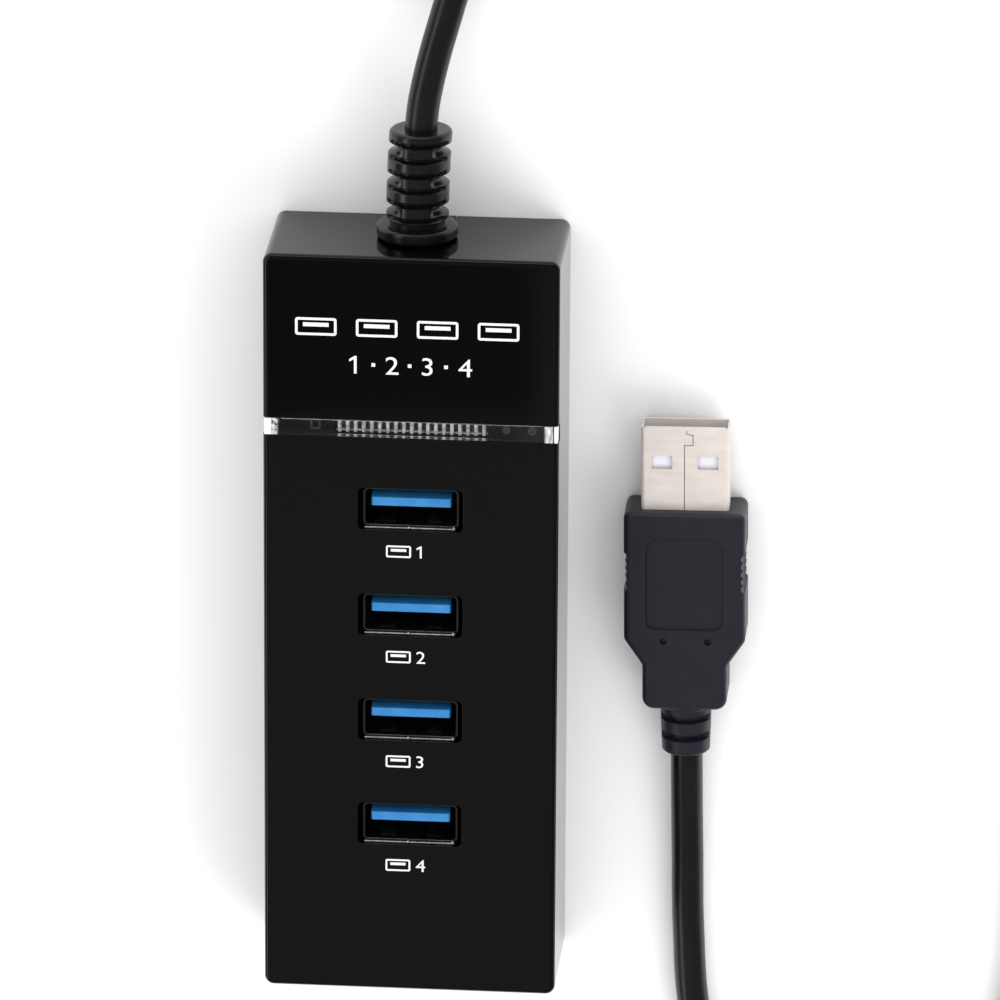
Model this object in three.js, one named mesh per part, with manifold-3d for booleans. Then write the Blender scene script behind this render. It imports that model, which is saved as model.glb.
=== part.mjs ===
// A slim four-port desk hub, lying on its back cover with its ports facing up.
// Millimetres. X runs across the case, Y along it towards the cord, Z up out of the ports.
// The origin is the centre of the case's underside, which rests on the surface z = 0.

import * as THREE from "three";
import { mergeVertices } from "three/addons/utils/BufferGeometryUtils.js";
import Module from "manifold-3d";

const wasm = await Module();
wasm.setup();

// ---- Driving dimensions -------------------------------------------------------------------

const GAP = 0.15; // clearance between fitted pieces
const REACH = 1; // how far a cutting tool passes through what it cuts
const ROOT = 0.3; // how far a rib, hook or wall is sunk into the piece that carries it

const CASE = { width: 40, length: 106, depth: 19, corner: 1.3, edge: 0.5, wall: 1.8, front: 2 };
const COVER = { thickness: 1.6, ledge: 0.7, corner: 1.15 };

const PORT_COUNT = 4;
const PORT_PITCH = 15.24;
const FIRST_PORT_Y = 17.2;
const PORT = { width: 14.2, height: 6, corner: 0.7 };
const RECEPTACLE = { width: 13, height: 5.6, sheet: 0.3, corner: 0.8, mouth: 18 };
const TONGUE = { width: 11.1, thickness: 1.84, top: 17.8, offset: 0.97 };
const TONGUE_TIP = { lead: 0.15, drop: 0.3, backLead: 0.5, backDrop: 2.2 };
const TONGUE_BASE = { halfWidth: 6, back: 2.3, top: 8.2 };
const CONTACT = { width: 1, thickness: 0.25, top: 15.4, tail: 2.4 };
const CONTACT_X = [-3.5, -1, 1, 3.5];
const LEG = { width: 1.8, slotWidth: 0.9, slotLength: 2.2 };
const TAIL_PLAY = 0.05; // what the board's holes leave round a contact's tail, beyond the clearance

const BAR = { y: 28.6, height: 2.6, thickness: 2.2 };
const GUIDE = { width: 20.6, height: 2, bottom: 7, ribs: 19, ribDepth: 0.9 };
const HOLDER = { halfWidth: 12, wall: 2.4, bottom: 12, backing: 2.8, backingDepth: 2 };

const BOARD = { halfWidth: 16.5, yMin: -50, yMax: 46.5, bottom: 3.2, thickness: 1.6 };
const SCREW = {
  headRadius: 1.9,
  headHeight: 1.1,
  shankRadius: 0.85,
  tip: 10,
  seat: 0.05,
  recess: { length: 2.2, width: 0.4, depth: 0.5 },
};
const SCREW_PLACES = [
  [-13, 40],
  [13, 40],
  [-12, -44],
  [12, -44],
];
const SCREW_PLAY = 0.25; // round each shank in the board
const BOSS_RADIUS = 2.5;

const CONTROLLER = { x: -3, y: 37.5, width: 9, length: 9, height: 0.9 };
const REGULATOR = { x: 13, y: 34, width: 6.5, length: 3.5, height: 1.6 };
const LED = { y: BAR.y, width: 3.5, length: 2.8, height: 1.6 };
const LED_X = [-6, 6];
const CRYSTAL = { width: 4.6, length: 11, height: 3.5, edge: 0.3 };
const CRYSTAL_PLACE = [6.6, 38];
const CAPACITOR = { radius: 2.5, height: 6.8, rim: 0.2, crimp: 1.2 };
const CAPACITOR_PLACES = [
  [-13, 33.6],
  [13.2, 9.6],
];

const HOOK = { y: [-32, 0, 32], length: 6, inner: 17, outer: 17.9, top: 6.2 };
const BARB = { reach: 0.75, height: 1.2, drop: 0.4, play: 0.3 };
const RIB = { halfLength: 15, width: 1.2 };

const AXIS_Z = 9.4; // height of the cord's axis where it leaves the case
const BOOT = { flange: 5.8, flangeDepth: 1.9, neck: 4.3, collar: 5.5, ring: 4.3, groove: 3.4, tip: 68.3 };
const COLLAR = { end: 1.9, chamfer: 0.4, grooveEnd: 2.7 };
const BOOT_RINGS = [
  [2.7, 4],
  [5, 8.2],
  [9.2, 12.4],
  [13.2, 15.3],
]; // where each ring starts and ends, from the end wall
const SLOT_PLAY = 0.3; // between the strain relief's neck and the slot in the end wall

const CONDUCTOR = {
  spacing: 1.5,
  padSpacing: 3,
  radius: 0.5,
  sides: 6,
  steps: 8,
  spread: 1.2,
  rise: 1.2,
  lowerPad: 5.7,
  upperPad: 8.2,
  knee: 1.5,
  foot: { lead: 0.3, lift: 1.8 },
};
const CORD_DIAMETER = 4.4;
const CORD_SIDES = 8;
const CORD_STEPS = 96;

const PLUG = { x: 36.6, y: 2, turn: THREE.MathUtils.degToRad(0.7), axisZ: 4.1 };
const PLUG_SHELL = { width: 12, height: 4.5, sheet: 0.3, corner: 0.6, exposed: 11.75, buried: 5 };
const OVERMOLD = { width: 16.6, length: 28.6, thickness: 8.2, edge: 0.7, rearWidth: 11.6 };
const TAPER = { start: 18.5, end: 22.2, frontCorner: 1, rearCorner: 1.2 };
const POCKET_PLAY = 0.3; // between the plug's sleeve and the pocket in its grip
const NECK = {
  length: 7,
  rooted: 1.5,
  frontRadius: 3.55,
  rearRadius: 3.3,
  chamfer: 0.2,
  slots: [1.3, 4],
  slotWidth: 0.95,
  slotZ: 2.7,
};
const BLADE = {
  under: 0.05,
  tipBack: 0.4,
  footLength: 3.2,
  grooveWidth: 1.3,
  grooveTop: 0.35,
  grooveBack: 1.2,
  contact: 0.15,
  contactBack: 1.4,
};
const WINDOW = { x: 3.13, width: 2.8, near: 4, far: 5.9 };
const GRIP = { count: 5, first: 6.46, pitch: 1.08, depth: 0.55, width: 0.95 };

// ---- Places worked out from them ----------------------------------------------------------

const frontInside = CASE.depth - CASE.front;
const endY = CASE.length / 2;
const boardTop = BOARD.bottom + BOARD.thickness;
const ports = Array.from({ length: PORT_COUNT }, (_, i) => FIRST_PORT_Y - i * PORT_PITCH);

const plugLength = PLUG_SHELL.exposed + OVERMOLD.length + NECK.length;
const overmoldFront = plugLength / 2 - PLUG_SHELL.exposed;
const overmoldRear = overmoldFront - OVERMOLD.length;
const plugTip = plugLength / 2;
const neckEnd = -plugLength / 2;

// ---- Materials ----------------------------------------------------------------------------

function material(color, roughness, metalness = 0, extra = {}) {
  return new THREE.MeshStandardMaterial({ color, roughness, metalness, ...extra });
}

const glossBlack = material(0x0c0d10, 0.12);
const clearAcrylic = material(0xe8eef2, 0.05, 0, { transparent: true, opacity: 0.35 });
const frosted = material(0xe4e8ea, 0.45);
const tinplate = material(0xb9b6b0, 0.32, 1);
const portBlue = material(0x2f7fd0, 0.4);
const gilt = material(0xc9a24a, 0.3, 1);
const boardGreen = material(0x1f5a3a, 0.5);
const chipBlack = material(0x1a1a1c, 0.6);
const canSilver = material(0xb5b7ba, 0.35, 1);
const ledYellow = material(0xd8d6b4, 0.5);
const screwZinc = material(0x8d9094, 0.35, 1);
const softBlack = material(0x17181a, 0.55);
const plugBlack = material(0x2b2e36, 0.6);
const plugNickel = material(0xe2ddd8, 0.28, 1);
const insulatorWhite = material(0xe9e6f2, 0.5);

// ---- Solids -------------------------------------------------------------------------------

// A closed geometry as a manifold-3d solid.
function solid(geometry) {
  const bare = geometry.index ? geometry.toNonIndexed() : geometry.clone();
  bare.deleteAttribute("normal");
  bare.deleteAttribute("uv");
  const merged = mergeVertices(bare, 1e-4);
  const numProp = 3;
  const vertProperties = merged.attributes.position.array;
  const triVerts = new Uint32Array(merged.index.array);
  return new wasm.Manifold(new wasm.Mesh({ numProp, vertProperties, triVerts }));
}

// A manifold-3d solid back as a flat-shaded geometry.
function geometryOf(body) {
  const mesh = body.getMesh();
  const indexed = new THREE.BufferGeometry();
  const corners = new THREE.BufferAttribute(mesh.vertProperties, mesh.numProp);
  indexed.setAttribute("position", corners);
  indexed.setIndex(new THREE.BufferAttribute(mesh.triVerts, 1));
  const flat = indexed.toNonIndexed();
  flat.computeVertexNormals();
  return flat;
}

function cutAll(body, tools) {
  return tools.reduce((left, tool) => left.subtract(tool), body);
}

function addAll(body, pieces) {
  return pieces.reduce((whole, piece) => whole.add(piece), body);
}

// An upright box from its lowest and highest corners.
function box(low, high) {
  const size = high.map((value, i) => value - low[i]);
  const geometry = new THREE.BoxGeometry(...size);
  geometry.translate(...low.map((value, i) => value + size[i] / 2));
  return solid(geometry);
}

// A round bar along Z.
function rodZ(x, y, radius, zLow, zHigh, sides = 20) {
  const geometry = new THREE.CylinderGeometry(radius, radius, zHigh - zLow, sides);
  geometry.rotateX(Math.PI / 2);
  geometry.translate(x, y, (zLow + zHigh) / 2);
  return solid(geometry);
}

// A round bar along Y.
function rodY(x, z, radius, yLow, yHigh, sides = 32) {
  const geometry = new THREE.CylinderGeometry(radius, radius, yHigh - yLow, sides);
  geometry.translate(x, (yLow + yHigh) / 2, z);
  return solid(geometry);
}

function roundedRect(width, height, radius) {
  const x = width / 2 - radius;
  const y = height / 2 - radius;
  const outline = new THREE.Shape();
  outline.absarc(x, -y, radius, -Math.PI / 2, 0);
  outline.absarc(x, y, radius, 0, Math.PI / 2);
  outline.absarc(-x, y, radius, Math.PI / 2, Math.PI);
  outline.absarc(-x, -y, radius, Math.PI, 1.5 * Math.PI);
  outline.closePath();
  return outline;
}

// An outline drawn in X and Y, raised from zLow to zHigh, with an optional rounded edge.
function raised(outline, zLow, zHigh, edge = 0, curveSegments = 5) {
  const geometry = new THREE.ExtrudeGeometry(outline, {
    depth: zHigh - zLow - 2 * edge,
    curveSegments,
    bevelEnabled: edge > 0,
    bevelThickness: edge,
    bevelSize: edge,
    bevelOffset: -edge,
    bevelSegments: 3,
  });
  geometry.translate(0, 0, zLow + edge);
  return solid(geometry);
}

function polygon(points) {
  return new THREE.Shape(points.map(([x, y]) => new THREE.Vector2(x, y)));
}

function node(name, body, finish) {
  const mesh = new THREE.Mesh(body.isBufferGeometry ? body : geometryOf(body), finish);
  mesh.name = name;
  return mesh;
}

// ---- Case ---------------------------------------------------------------------------------

function portCut(y) {
  const hole = raised(roundedRect(PORT.width, PORT.height, PORT.corner), 0, CASE.front + 2 * REACH, 0, 3);
  return hole.translate([0, y, frontInside - REACH]);
}

// The channel across the front for the light bar, and the window under it for the light guide.
function barCuts() {
  const half = BAR.height / 2;
  const floor = CASE.depth - BAR.thickness;
  const channel = box(
    [-CASE.width / 2 - REACH, BAR.y - half, floor],
    [CASE.width / 2 + REACH, BAR.y + half, CASE.depth + REACH],
  );
  const windowX = GUIDE.width / 2 + GAP;
  const windowY = GUIDE.height / 2 + GAP;
  const window = box(
    [-windowX, BAR.y - windowY, HOLDER.bottom - REACH],
    [windowX, BAR.y + windowY, floor + REACH],
  );
  return [channel, window];
}

// The walls inside the front that hold the light guide and back the channel.
function guideHolder() {
  const innerX = CASE.width / 2 - CASE.wall / 2;
  const backing = box(
    [-innerX, BAR.y - HOLDER.backing, frontInside - HOLDER.backingDepth],
    [innerX, BAR.y + HOLDER.backing, frontInside + ROOT],
  );
  const frame = box(
    [-HOLDER.halfWidth, BAR.y - HOLDER.wall, HOLDER.bottom],
    [HOLDER.halfWidth, BAR.y + HOLDER.wall, frontInside],
  );
  return backing.add(frame);
}

function screwBosses() {
  return SCREW_PLACES.map(([x, y]) => rodZ(x, y, BOSS_RADIUS, boardTop + GAP, frontInside + ROOT));
}

// The slot in the end wall that the cord's strain relief drops into from the back.
function bootSlot(margin) {
  const radius = BOOT.neck + margin;
  const yLow = endY - CASE.wall - REACH;
  const yHigh = endY + REACH;
  const straight = box([-radius, yLow, -REACH], [radius, yHigh, AXIS_Z]);
  return straight.add(rodY(0, AXIS_Z, radius, yLow, yHigh));
}

function hookPockets() {
  const inner = CASE.width / 2 - CASE.wall;
  return HOOK.y.flatMap((y) =>
    [-1, 1].map((side) => {
      const near = side * (inner - ROOT);
      const far = side * (inner + BARB.reach);
      const half = HOOK.length / 2 + BARB.play;
      const bottom = HOOK.top - BARB.drop - BARB.height - BARB.play;
      return box([Math.min(near, far), y - half, bottom], [Math.max(near, far), y + half, HOOK.top]);
    }),
  );
}

function topShell() {
  const plan = roundedRect(CASE.width, CASE.length, CASE.corner);
  const outer = raised(plan, -2 * REACH, CASE.depth, CASE.edge);
  const below = box([-CASE.width, -CASE.length, -3 * REACH], [CASE.width, CASE.length, 0]);
  const insideWidth = CASE.width - 2 * CASE.wall;
  const insideLength = CASE.length - 2 * CASE.wall;
  const insideCorner = COVER.corner + GAP - COVER.ledge;
  const cavity = raised(roundedRect(insideWidth, insideLength, insideCorner), -REACH, frontInside, 0, 2);
  const rebate = raised(
    roundedRect(insideWidth + 2 * COVER.ledge, insideLength + 2 * COVER.ledge, COVER.corner + GAP),
    -REACH,
    COVER.thickness + GAP,
    0,
    3,
  );
  const tub = cutAll(outer, [below, cavity, rebate]);
  const furnished = addAll(tub, [guideHolder(), ...screwBosses()]);
  const pilotRadius = SCREW.shankRadius + GAP;
  const pilots = SCREW_PLACES.map(([x, y]) => {
    return rodZ(x, y, pilotRadius, boardTop, SCREW.tip + REACH, 12);
  });
  return cutAll(furnished, [
    ...ports.map(portCut),
    ...barCuts(),
    ...pilots,
    ...hookPockets(),
    bootSlot(SLOT_PLAY),
  ]);
}

// Snap hooks on the cover's long sides, each with a barb that springs into a pocket in the wall.
function coverHooks() {
  return HOOK.y.flatMap((y) =>
    [-1, 1].map((side) => {
      const yLow = y - HOOK.length / 2;
      const yHigh = y + HOOK.length / 2;
      const leg = [side * HOOK.inner, side * HOOK.outer].sort((a, b) => a - b);
      const barbReach = HOOK.outer + BARB.reach - GAP;
      const barb = [side * (HOOK.outer - ROOT), side * barbReach].sort((a, b) => a - b);
      const barbTop = HOOK.top - BARB.drop;
      const arm = box([leg[0], yLow, COVER.thickness - ROOT], [leg[1], yHigh, HOOK.top - GAP]);
      return arm.add(box([barb[0], yLow, barbTop - BARB.height], [barb[1], yHigh, barbTop]));
    }),
  );
}

// Cross ribs that back the board between the ports, where plugs push it.
function coverRibs() {
  const between = [...ports, ports.at(-1) - PORT_PITCH].map((y) => y + PORT_PITCH / 2);
  const low = COVER.thickness - ROOT;
  const high = BOARD.bottom - GAP;
  return between.map((y) =>
    box([-RIB.halfLength, y - RIB.width / 2, low], [RIB.halfLength, y + RIB.width / 2, high]),
  );
}

// The tab that closes the end wall's slot behind the strain relief.
function coverTab() {
  const radius = BOOT.neck + SLOT_PLAY - GAP;
  const tab = box([-radius, endY - CASE.wall + GAP, 0], [radius, endY, AXIS_Z - REACH]);
  const saddle = rodY(0, AXIS_Z, BOOT.neck + GAP, endY - CASE.wall - REACH, endY + REACH);
  return tab.subtract(saddle);
}

function backCover() {
  const width = CASE.width - 2 * (CASE.wall - COVER.ledge + GAP);
  const length = CASE.length - 2 * (CASE.wall - COVER.ledge + GAP);
  const plate = raised(roundedRect(width, length, COVER.corner), 0, COVER.thickness, 0, 3);
  return addAll(plate, [coverTab(), ...coverHooks(), ...coverRibs()]);
}

function lightBar() {
  const half = BAR.height / 2 - GAP;
  const reach = CASE.width / 2 - GAP;
  return box(
    [-reach, BAR.y - half, CASE.depth - BAR.thickness + GAP],
    [reach, BAR.y + half, CASE.depth],
  );
}

// A comb of upright ribs on a block that carries the light up from the board.
function lightGuide() {
  const top = CASE.depth - BAR.thickness - GAP;
  const pitch = GUIDE.width / GUIDE.ribs;
  const left = -GUIDE.width / 2;
  const crest = [];
  for (let i = 0; i < GUIDE.ribs; i += 1) {
    crest.push([left + i * pitch, top - GUIDE.ribDepth]);
    crest.push([left + (i + 0.5) * pitch, top]);
  }
  const outline = [
    [left, GUIDE.bottom],
    ...crest,
    [-left, top - GUIDE.ribDepth],
    [-left, GUIDE.bottom],
  ].reverse();
  const geometry = new THREE.ExtrudeGeometry(polygon(outline), {
    depth: GUIDE.height,
    bevelEnabled: false,
  });
  geometry.rotateX(Math.PI / 2);
  geometry.translate(0, BAR.y + GUIDE.height / 2, 0);
  return solid(geometry);
}

// ---- Ports --------------------------------------------------------------------------------

// A folded sheet-metal sleeve with a leg on each side that passes through the board.
function portShell(y) {
  const { width, height, sheet, corner, mouth } = RECEPTACLE;
  const outline = roundedRect(width, height, corner);
  outline.holes.push(roundedRect(width - 2 * sheet, height - 2 * sheet, corner - sheet));
  const sleeve = raised(outline, boardTop + GAP, mouth, 0, 3);
  const legs = [-1, 1].map((side) => {
    const x = (side * (width - sheet)) / 2;
    const half = LEG.width / 2;
    return box([x - sheet / 2, -half, CONTACT.tail], [x + sheet / 2, half, boardTop + GAP + ROOT]);
  });
  return addAll(sleeve, legs).translate([0, y, 0]);
}

// The moulded insert: a base on the board and the tongue that stands up in the sleeve.
function portTongue(y) {
  const back = y + TONGUE.offset + TONGUE.thickness / 2;
  const front = back - TONGUE.thickness;
  const half = TONGUE.width / 2;
  const { lead, drop, backLead, backDrop } = TONGUE_TIP;
  const rise = [
    [front, boardTop + REACH],
    [back, boardTop + REACH],
    [back, TONGUE.top - backDrop],
    [back - backLead, TONGUE.top],
    [front + lead, TONGUE.top],
    [front, TONGUE.top - drop],
  ];
  const geometry = new THREE.ExtrudeGeometry(polygon(rise), { depth: 2 * half, bevelEnabled: false });
  geometry.applyMatrix4(new THREE.Matrix4().set(0, 0, 1, -half, 1, 0, 0, 0, 0, 1, 0, 0, 0, 0, 0, 1));
  const { halfWidth, back: baseBack, top } = TONGUE_BASE;
  const base = box([-halfWidth, front, boardTop + GAP], [halfWidth, y + baseBack, top]);
  return solid(geometry).add(base);
}

// Where the contacts' outer side lies, just clear of the tongue.
function contactFace(y) {
  return y + TONGUE.offset - TONGUE.thickness / 2 - GAP;
}

function portContact(x, y) {
  const face = contactFace(y);
  const half = CONTACT.width / 2;
  return box([x - half, face - CONTACT.thickness, CONTACT.tail], [x + half, face, CONTACT.top]);
}

// ---- Board and what is on it --------------------------------------------------------------

function boardHolesFor(y) {
  const middle = contactFace(y) - CONTACT.thickness / 2;
  const low = BOARD.bottom - REACH;
  const high = boardTop + REACH;
  const legX = (RECEPTACLE.width - RECEPTACLE.sheet) / 2;
  const slot = (x, yMiddle, width, length) =>
    box([x - width / 2, yMiddle - length / 2, low], [x + width / 2, yMiddle + length / 2, high]);
  const legs = [-legX, legX].map((x) => slot(x, y, LEG.slotWidth, LEG.slotLength));
  const tailPlay = 2 * (GAP + TAIL_PLAY);
  const tails = CONTACT_X.map((x) =>
    slot(x, middle, CONTACT.width + tailPlay, CONTACT.thickness + tailPlay),
  );
  return [...legs, ...tails];
}

function board() {
  const plate = box(
    [-BOARD.halfWidth, BOARD.yMin, BOARD.bottom],
    [BOARD.halfWidth, BOARD.yMax, boardTop],
  );
  const screwHoles = SCREW_PLACES.map(([x, y]) =>
    rodZ(x, y, SCREW.shankRadius + SCREW_PLAY, BOARD.bottom - REACH, boardTop + REACH, 12),
  );
  return cutAll(plate, [...ports.flatMap(boardHolesFor), ...screwHoles]);
}

function chip({ x, y, width, length, height }) {
  const low = boardTop + GAP;
  return box([x - width / 2, y - length / 2, low], [x + width / 2, y + length / 2, low + height]);
}

function crystal(x, y) {
  const { width, length, height, edge } = CRYSTAL;
  const low = boardTop + GAP;
  const can = raised(roundedRect(width, length, width / 2 - GAP), low, low + height, edge, 4);
  return can.translate([x, y, 0]);
}

// A can on its base, with the crimp of its seal as a groove low on the side.
function capacitor(x, y) {
  const { radius, height, rim, crimp } = CAPACITOR;
  const profile = [
    [0, 0],
    [radius - rim, 0],
    [radius, rim],
    [radius, crimp - rim],
    [radius - rim, crimp],
    [radius - rim, crimp + rim],
    [radius, crimp + 2 * rim],
    [radius, height - rim],
    [radius - rim, height],
    [0, height],
  ].map(([r, z]) => new THREE.Vector2(r, z));
  const geometry = new THREE.LatheGeometry(profile, 20);
  geometry.rotateX(Math.PI / 2);
  geometry.translate(x, y, boardTop + GAP);
  return solid(geometry);
}

// A pan-head screw driven up through the board, its head under the board.
function boardScrew(x, y) {
  const { headRadius, headHeight, shankRadius, tip, recess } = SCREW;
  const under = BOARD.bottom - SCREW.seat;
  const crown = under - headHeight;
  const head = rodZ(x, y, headRadius, crown, under, 20);
  const shank = rodZ(x, y, shankRadius, under - SCREW.seat, tip, 12);
  const { length, width, depth } = recess;
  const slots = [
    [length, width],
    [width, length],
  ].map(([w, l]) => {
    return box([x - w / 2, y - l / 2, crown - REACH], [x + w / 2, y + l / 2, crown + depth]);
  });
  return cutAll(head.add(shank), slots);
}

// ---- Tubes along a route ------------------------------------------------------------------

function tube(points, radius, sides, steps) {
  const curve = new THREE.CatmullRomCurve3(points.map((p) => new THREE.Vector3(...p)));
  const ring = Array.from({ length: sides }, (_, i) => {
    const angle = (2 * Math.PI * (i + 0.5)) / sides;
    return [radius * Math.cos(angle), radius * Math.sin(angle)];
  });
  const geometry = new THREE.ExtrudeGeometry(polygon(ring), {
    steps,
    extrudePath: curve,
    bevelEnabled: false,
  });
  return solid(geometry);
}

// One of the cord's conductors, from its core to a pad on the board. Those of the upper row
// arch over the lower row and land further in.
function conductor(column, upper) {
  const inner = endY - CASE.wall;
  const { spacing, padSpacing, spread, rise, lowerPad, upperPad, knee, foot } = CONDUCTOR;
  const startX = spacing * column;
  const startZ = AXIS_Z + (upper ? rise : -rise);
  const padX = padSpacing * column;
  const padY = inner - (upper ? upperPad : lowerPad);
  const coreEnd = inner - BOOT.flangeDepth - ROOT;
  const points = [
    [startX, coreEnd, startZ],
    [startX * spread, coreEnd - rise, startZ],
    [(startX + padX) / 2, padY + knee, (startZ + boardTop) / 2 + rise],
    [padX, padY + foot.lead, boardTop + foot.lift],
    [padX, padY, boardTop + GAP],
  ];
  return tube(points, CONDUCTOR.radius, CONDUCTOR.sides, CONDUCTOR.steps);
}

// ---- Cord end, cord and plug --------------------------------------------------------------

// The moulded strain relief: a flange inside the wall, a neck through it, a collar and ribbed rings.
function cordBoot() {
  const inner = endY - CASE.wall;
  const { flange, flangeDepth, neck, collar, ring, groove, tip } = BOOT;
  const profile = [
    [0, inner - flangeDepth],
    [flange, inner - flangeDepth],
    [flange, inner - GAP],
    [neck, inner - GAP],
    [neck, endY + GAP],
    [collar, endY + GAP],
    [collar, endY + COLLAR.end],
    [collar - COLLAR.chamfer, endY + COLLAR.end + COLLAR.chamfer],
    [groove, endY + COLLAR.end + COLLAR.chamfer],
    [groove, endY + COLLAR.grooveEnd],
  ];
  BOOT_RINGS.forEach(([low, high], i) => {
    profile.push([ring, endY + low]);
    profile.push([ring, endY + high]);
    if (i < BOOT_RINGS.length - 1) {
      profile.push([groove, endY + high]);
      profile.push([groove, endY + BOOT_RINGS[i + 1][0]]);
    }
  });
  profile.push([0, tip]);
  const geometry = new THREE.LatheGeometry(
    profile.map(([r, y]) => new THREE.Vector2(r, y)),
    28,
  );
  geometry.translate(0, 0, AXIS_Z);
  return solid(geometry);
}

// The free cord: out of the boot, down to the surface, and round in one wide loop to the plug.
const CORD_ROUTE = [
  [0.45, BOOT.tip + 0.3, AXIS_Z],
  [0.8, 71.8, 9.1],
  [1.65, 76.2, 7.8],
  [2.95, 81.2, 5.7],
  [5.1, 88, 3.5],
  [9.6, 96, 2.4],
  [17.2, 103.2, 2.25],
  [27.5, 107.8, 2.25],
  [39, 109, 2.25],
  [51.5, 108.8, 2.25],
  [63.5, 107, 2.25],
  [73.4, 101.2, 2.25],
  [79.8, 91.4, 2.25],
  [82.6, 78.5, 2.25],
  [83.3, 64, 2.25],
  [83.5, 46, 2.25],
  [83.7, 28, 2.25],
  [83.8, 10, 2.25],
  [83.9, -8, 2.25],
  [84.1, -26, 2.25],
  [84.2, -42, 2.25],
  [83.4, -56, 2.25],
  [80.2, -67.5, 2.25],
  [73.2, -77, 2.25],
  [62.8, -82, 2.25],
  [51.6, -80.6, 2.25],
  [43, -73.6, 2.25],
  [38.6, -62.5, 2.25],
  [37.35, -49, 2.25],
  [37.1, -38, 2.4],
  [36.97, -29, 3.4],
  [36.89, PLUG.y + neckEnd - 0.3, PLUG.axisZ],
];

function cord() {
  return tube(CORD_ROUTE, CORD_DIAMETER / 2, CORD_SIDES, CORD_STEPS);
}

// The grip's outline seen from above: straight sides, then a taper to the neck.
function overmoldOutline() {
  const half = OVERMOLD.width / 2;
  const rear = OVERMOLD.rearWidth / 2;
  const { start, end, frontCorner, rearCorner } = TAPER;
  const side = [
    [half - frontCorner, overmoldFront],
    [half, overmoldFront - frontCorner],
    [half, overmoldFront - start],
    [rear, overmoldFront - end],
    [rear, overmoldRear + rearCorner],
    [rear - rearCorner, overmoldRear],
  ];
  const mirrored = side.map(([x, y]) => [-x, y]).reverse();
  return polygon([...side, ...mirrored].reverse());
}

// Finger notches, V-shaped and upright, down both sides of the grip.
function gripNotches() {
  const half = OVERMOLD.width / 2;
  const height = OVERMOLD.thickness / 2 + REACH;
  const rows = Array.from({ length: GRIP.count }, (_, i) => overmoldFront - GRIP.first - i * GRIP.pitch);
  return rows.flatMap((y) =>
    [-1, 1].map((side) => {
      const corners = [
        [side * (half + GAP), y + GRIP.width / 2],
        [side * (half - GRIP.depth), y],
        [side * (half + GAP), y - GRIP.width / 2],
      ];
      return raised(polygon(side > 0 ? corners : corners.reverse()), -height, height);
    }),
  );
}

function plugOvermold() {
  const half = OVERMOLD.thickness / 2;
  const body = raised(overmoldOutline(), -half, half, OVERMOLD.edge);
  const profile = [
    [0, neckEnd],
    [NECK.rearRadius - NECK.chamfer, neckEnd],
    [NECK.rearRadius, neckEnd + NECK.chamfer],
    [NECK.frontRadius, overmoldRear],
    [NECK.frontRadius, overmoldRear + NECK.rooted],
    [0, overmoldRear + NECK.rooted],
  ].map(([r, y]) => new THREE.Vector2(r, y));
  const neck = solid(new THREE.LatheGeometry(profile, 24));
  const slots = NECK.slots.flatMap((back) => {
    const high = overmoldRear - back;
    const low = high - NECK.slotWidth;
    const upper = box([-half, low, NECK.slotZ], [half, high, half + REACH]);
    const lower = box([-half, low, -half - REACH], [half, high, -NECK.slotZ]);
    return [upper, lower];
  });
  const pocketX = PLUG_SHELL.width / 2 + POCKET_PLAY;
  const pocketZ = PLUG_SHELL.height / 2 + POCKET_PLAY;
  const pocketEnd = overmoldFront - PLUG_SHELL.buried - POCKET_PLAY;
  const pocket = box([-pocketX, pocketEnd, -pocketZ], [pocketX, overmoldFront + REACH, pocketZ]);
  return cutAll(body.add(neck), [...slots, ...gripNotches(), pocket]);
}

// The folded sheet sleeve of the plug, with two catch windows in each broad face.
function plugShell() {
  const { width, height, sheet, corner, buried } = PLUG_SHELL;
  const outline = roundedRect(width, height, corner);
  outline.holes.push(roundedRect(width - 2 * sheet, height - 2 * sheet, corner - sheet));
  const geometry = new THREE.ExtrudeGeometry(outline, {
    depth: plugTip - overmoldFront + buried,
    curveSegments: 3,
    bevelEnabled: false,
  });
  geometry.rotateX(-Math.PI / 2);
  geometry.translate(0, overmoldFront - buried, 0);
  const windows = [-1, 1].flatMap((side) =>
    [-1, 1].map((face) => {
      const x = side * WINDOW.x;
      const z = (face * height) / 2;
      const low = [x - WINDOW.width / 2, plugTip - WINDOW.far, z - 2 * sheet];
      return box(low, [x + WINDOW.width / 2, plugTip - WINDOW.near, z + 2 * sheet]);
    }),
  );
  return cutAll(solid(geometry), windows);
}

// The white blade against the sleeve's upper face, grooved underneath for the contacts.
function plugInsulator() {
  const half = PLUG_SHELL.width / 2 - PLUG_SHELL.sheet - GAP;
  const top = PLUG_SHELL.height / 2 - PLUG_SHELL.sheet - GAP;
  const base = overmoldFront - PLUG_SHELL.buried;
  const { under, tipBack, footLength, grooveWidth, grooveTop, grooveBack } = BLADE;
  const blade = box([-half, base, under], [half, plugTip - tipBack, top]);
  const foot = box([-half, base, -top], [half, base + footLength, under + GAP]);
  const grooves = CONTACT_X.map((x) => {
    const low = [x - grooveWidth / 2, base - REACH, -grooveTop];
    return box(low, [x + grooveWidth / 2, plugTip - grooveBack, grooveTop]);
  });
  return cutAll(blade.add(foot), grooves);
}

function plugContact(x) {
  const half = CONTACT.width / 2;
  const low = [x - half, overmoldFront - PLUG_SHELL.buried + GAP, -BLADE.contact];
  return box(low, [x + half, plugTip - BLADE.contactBack, BLADE.contact]);
}

// ---- Assembly -----------------------------------------------------------------------------

const hub = new THREE.Group();

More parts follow.
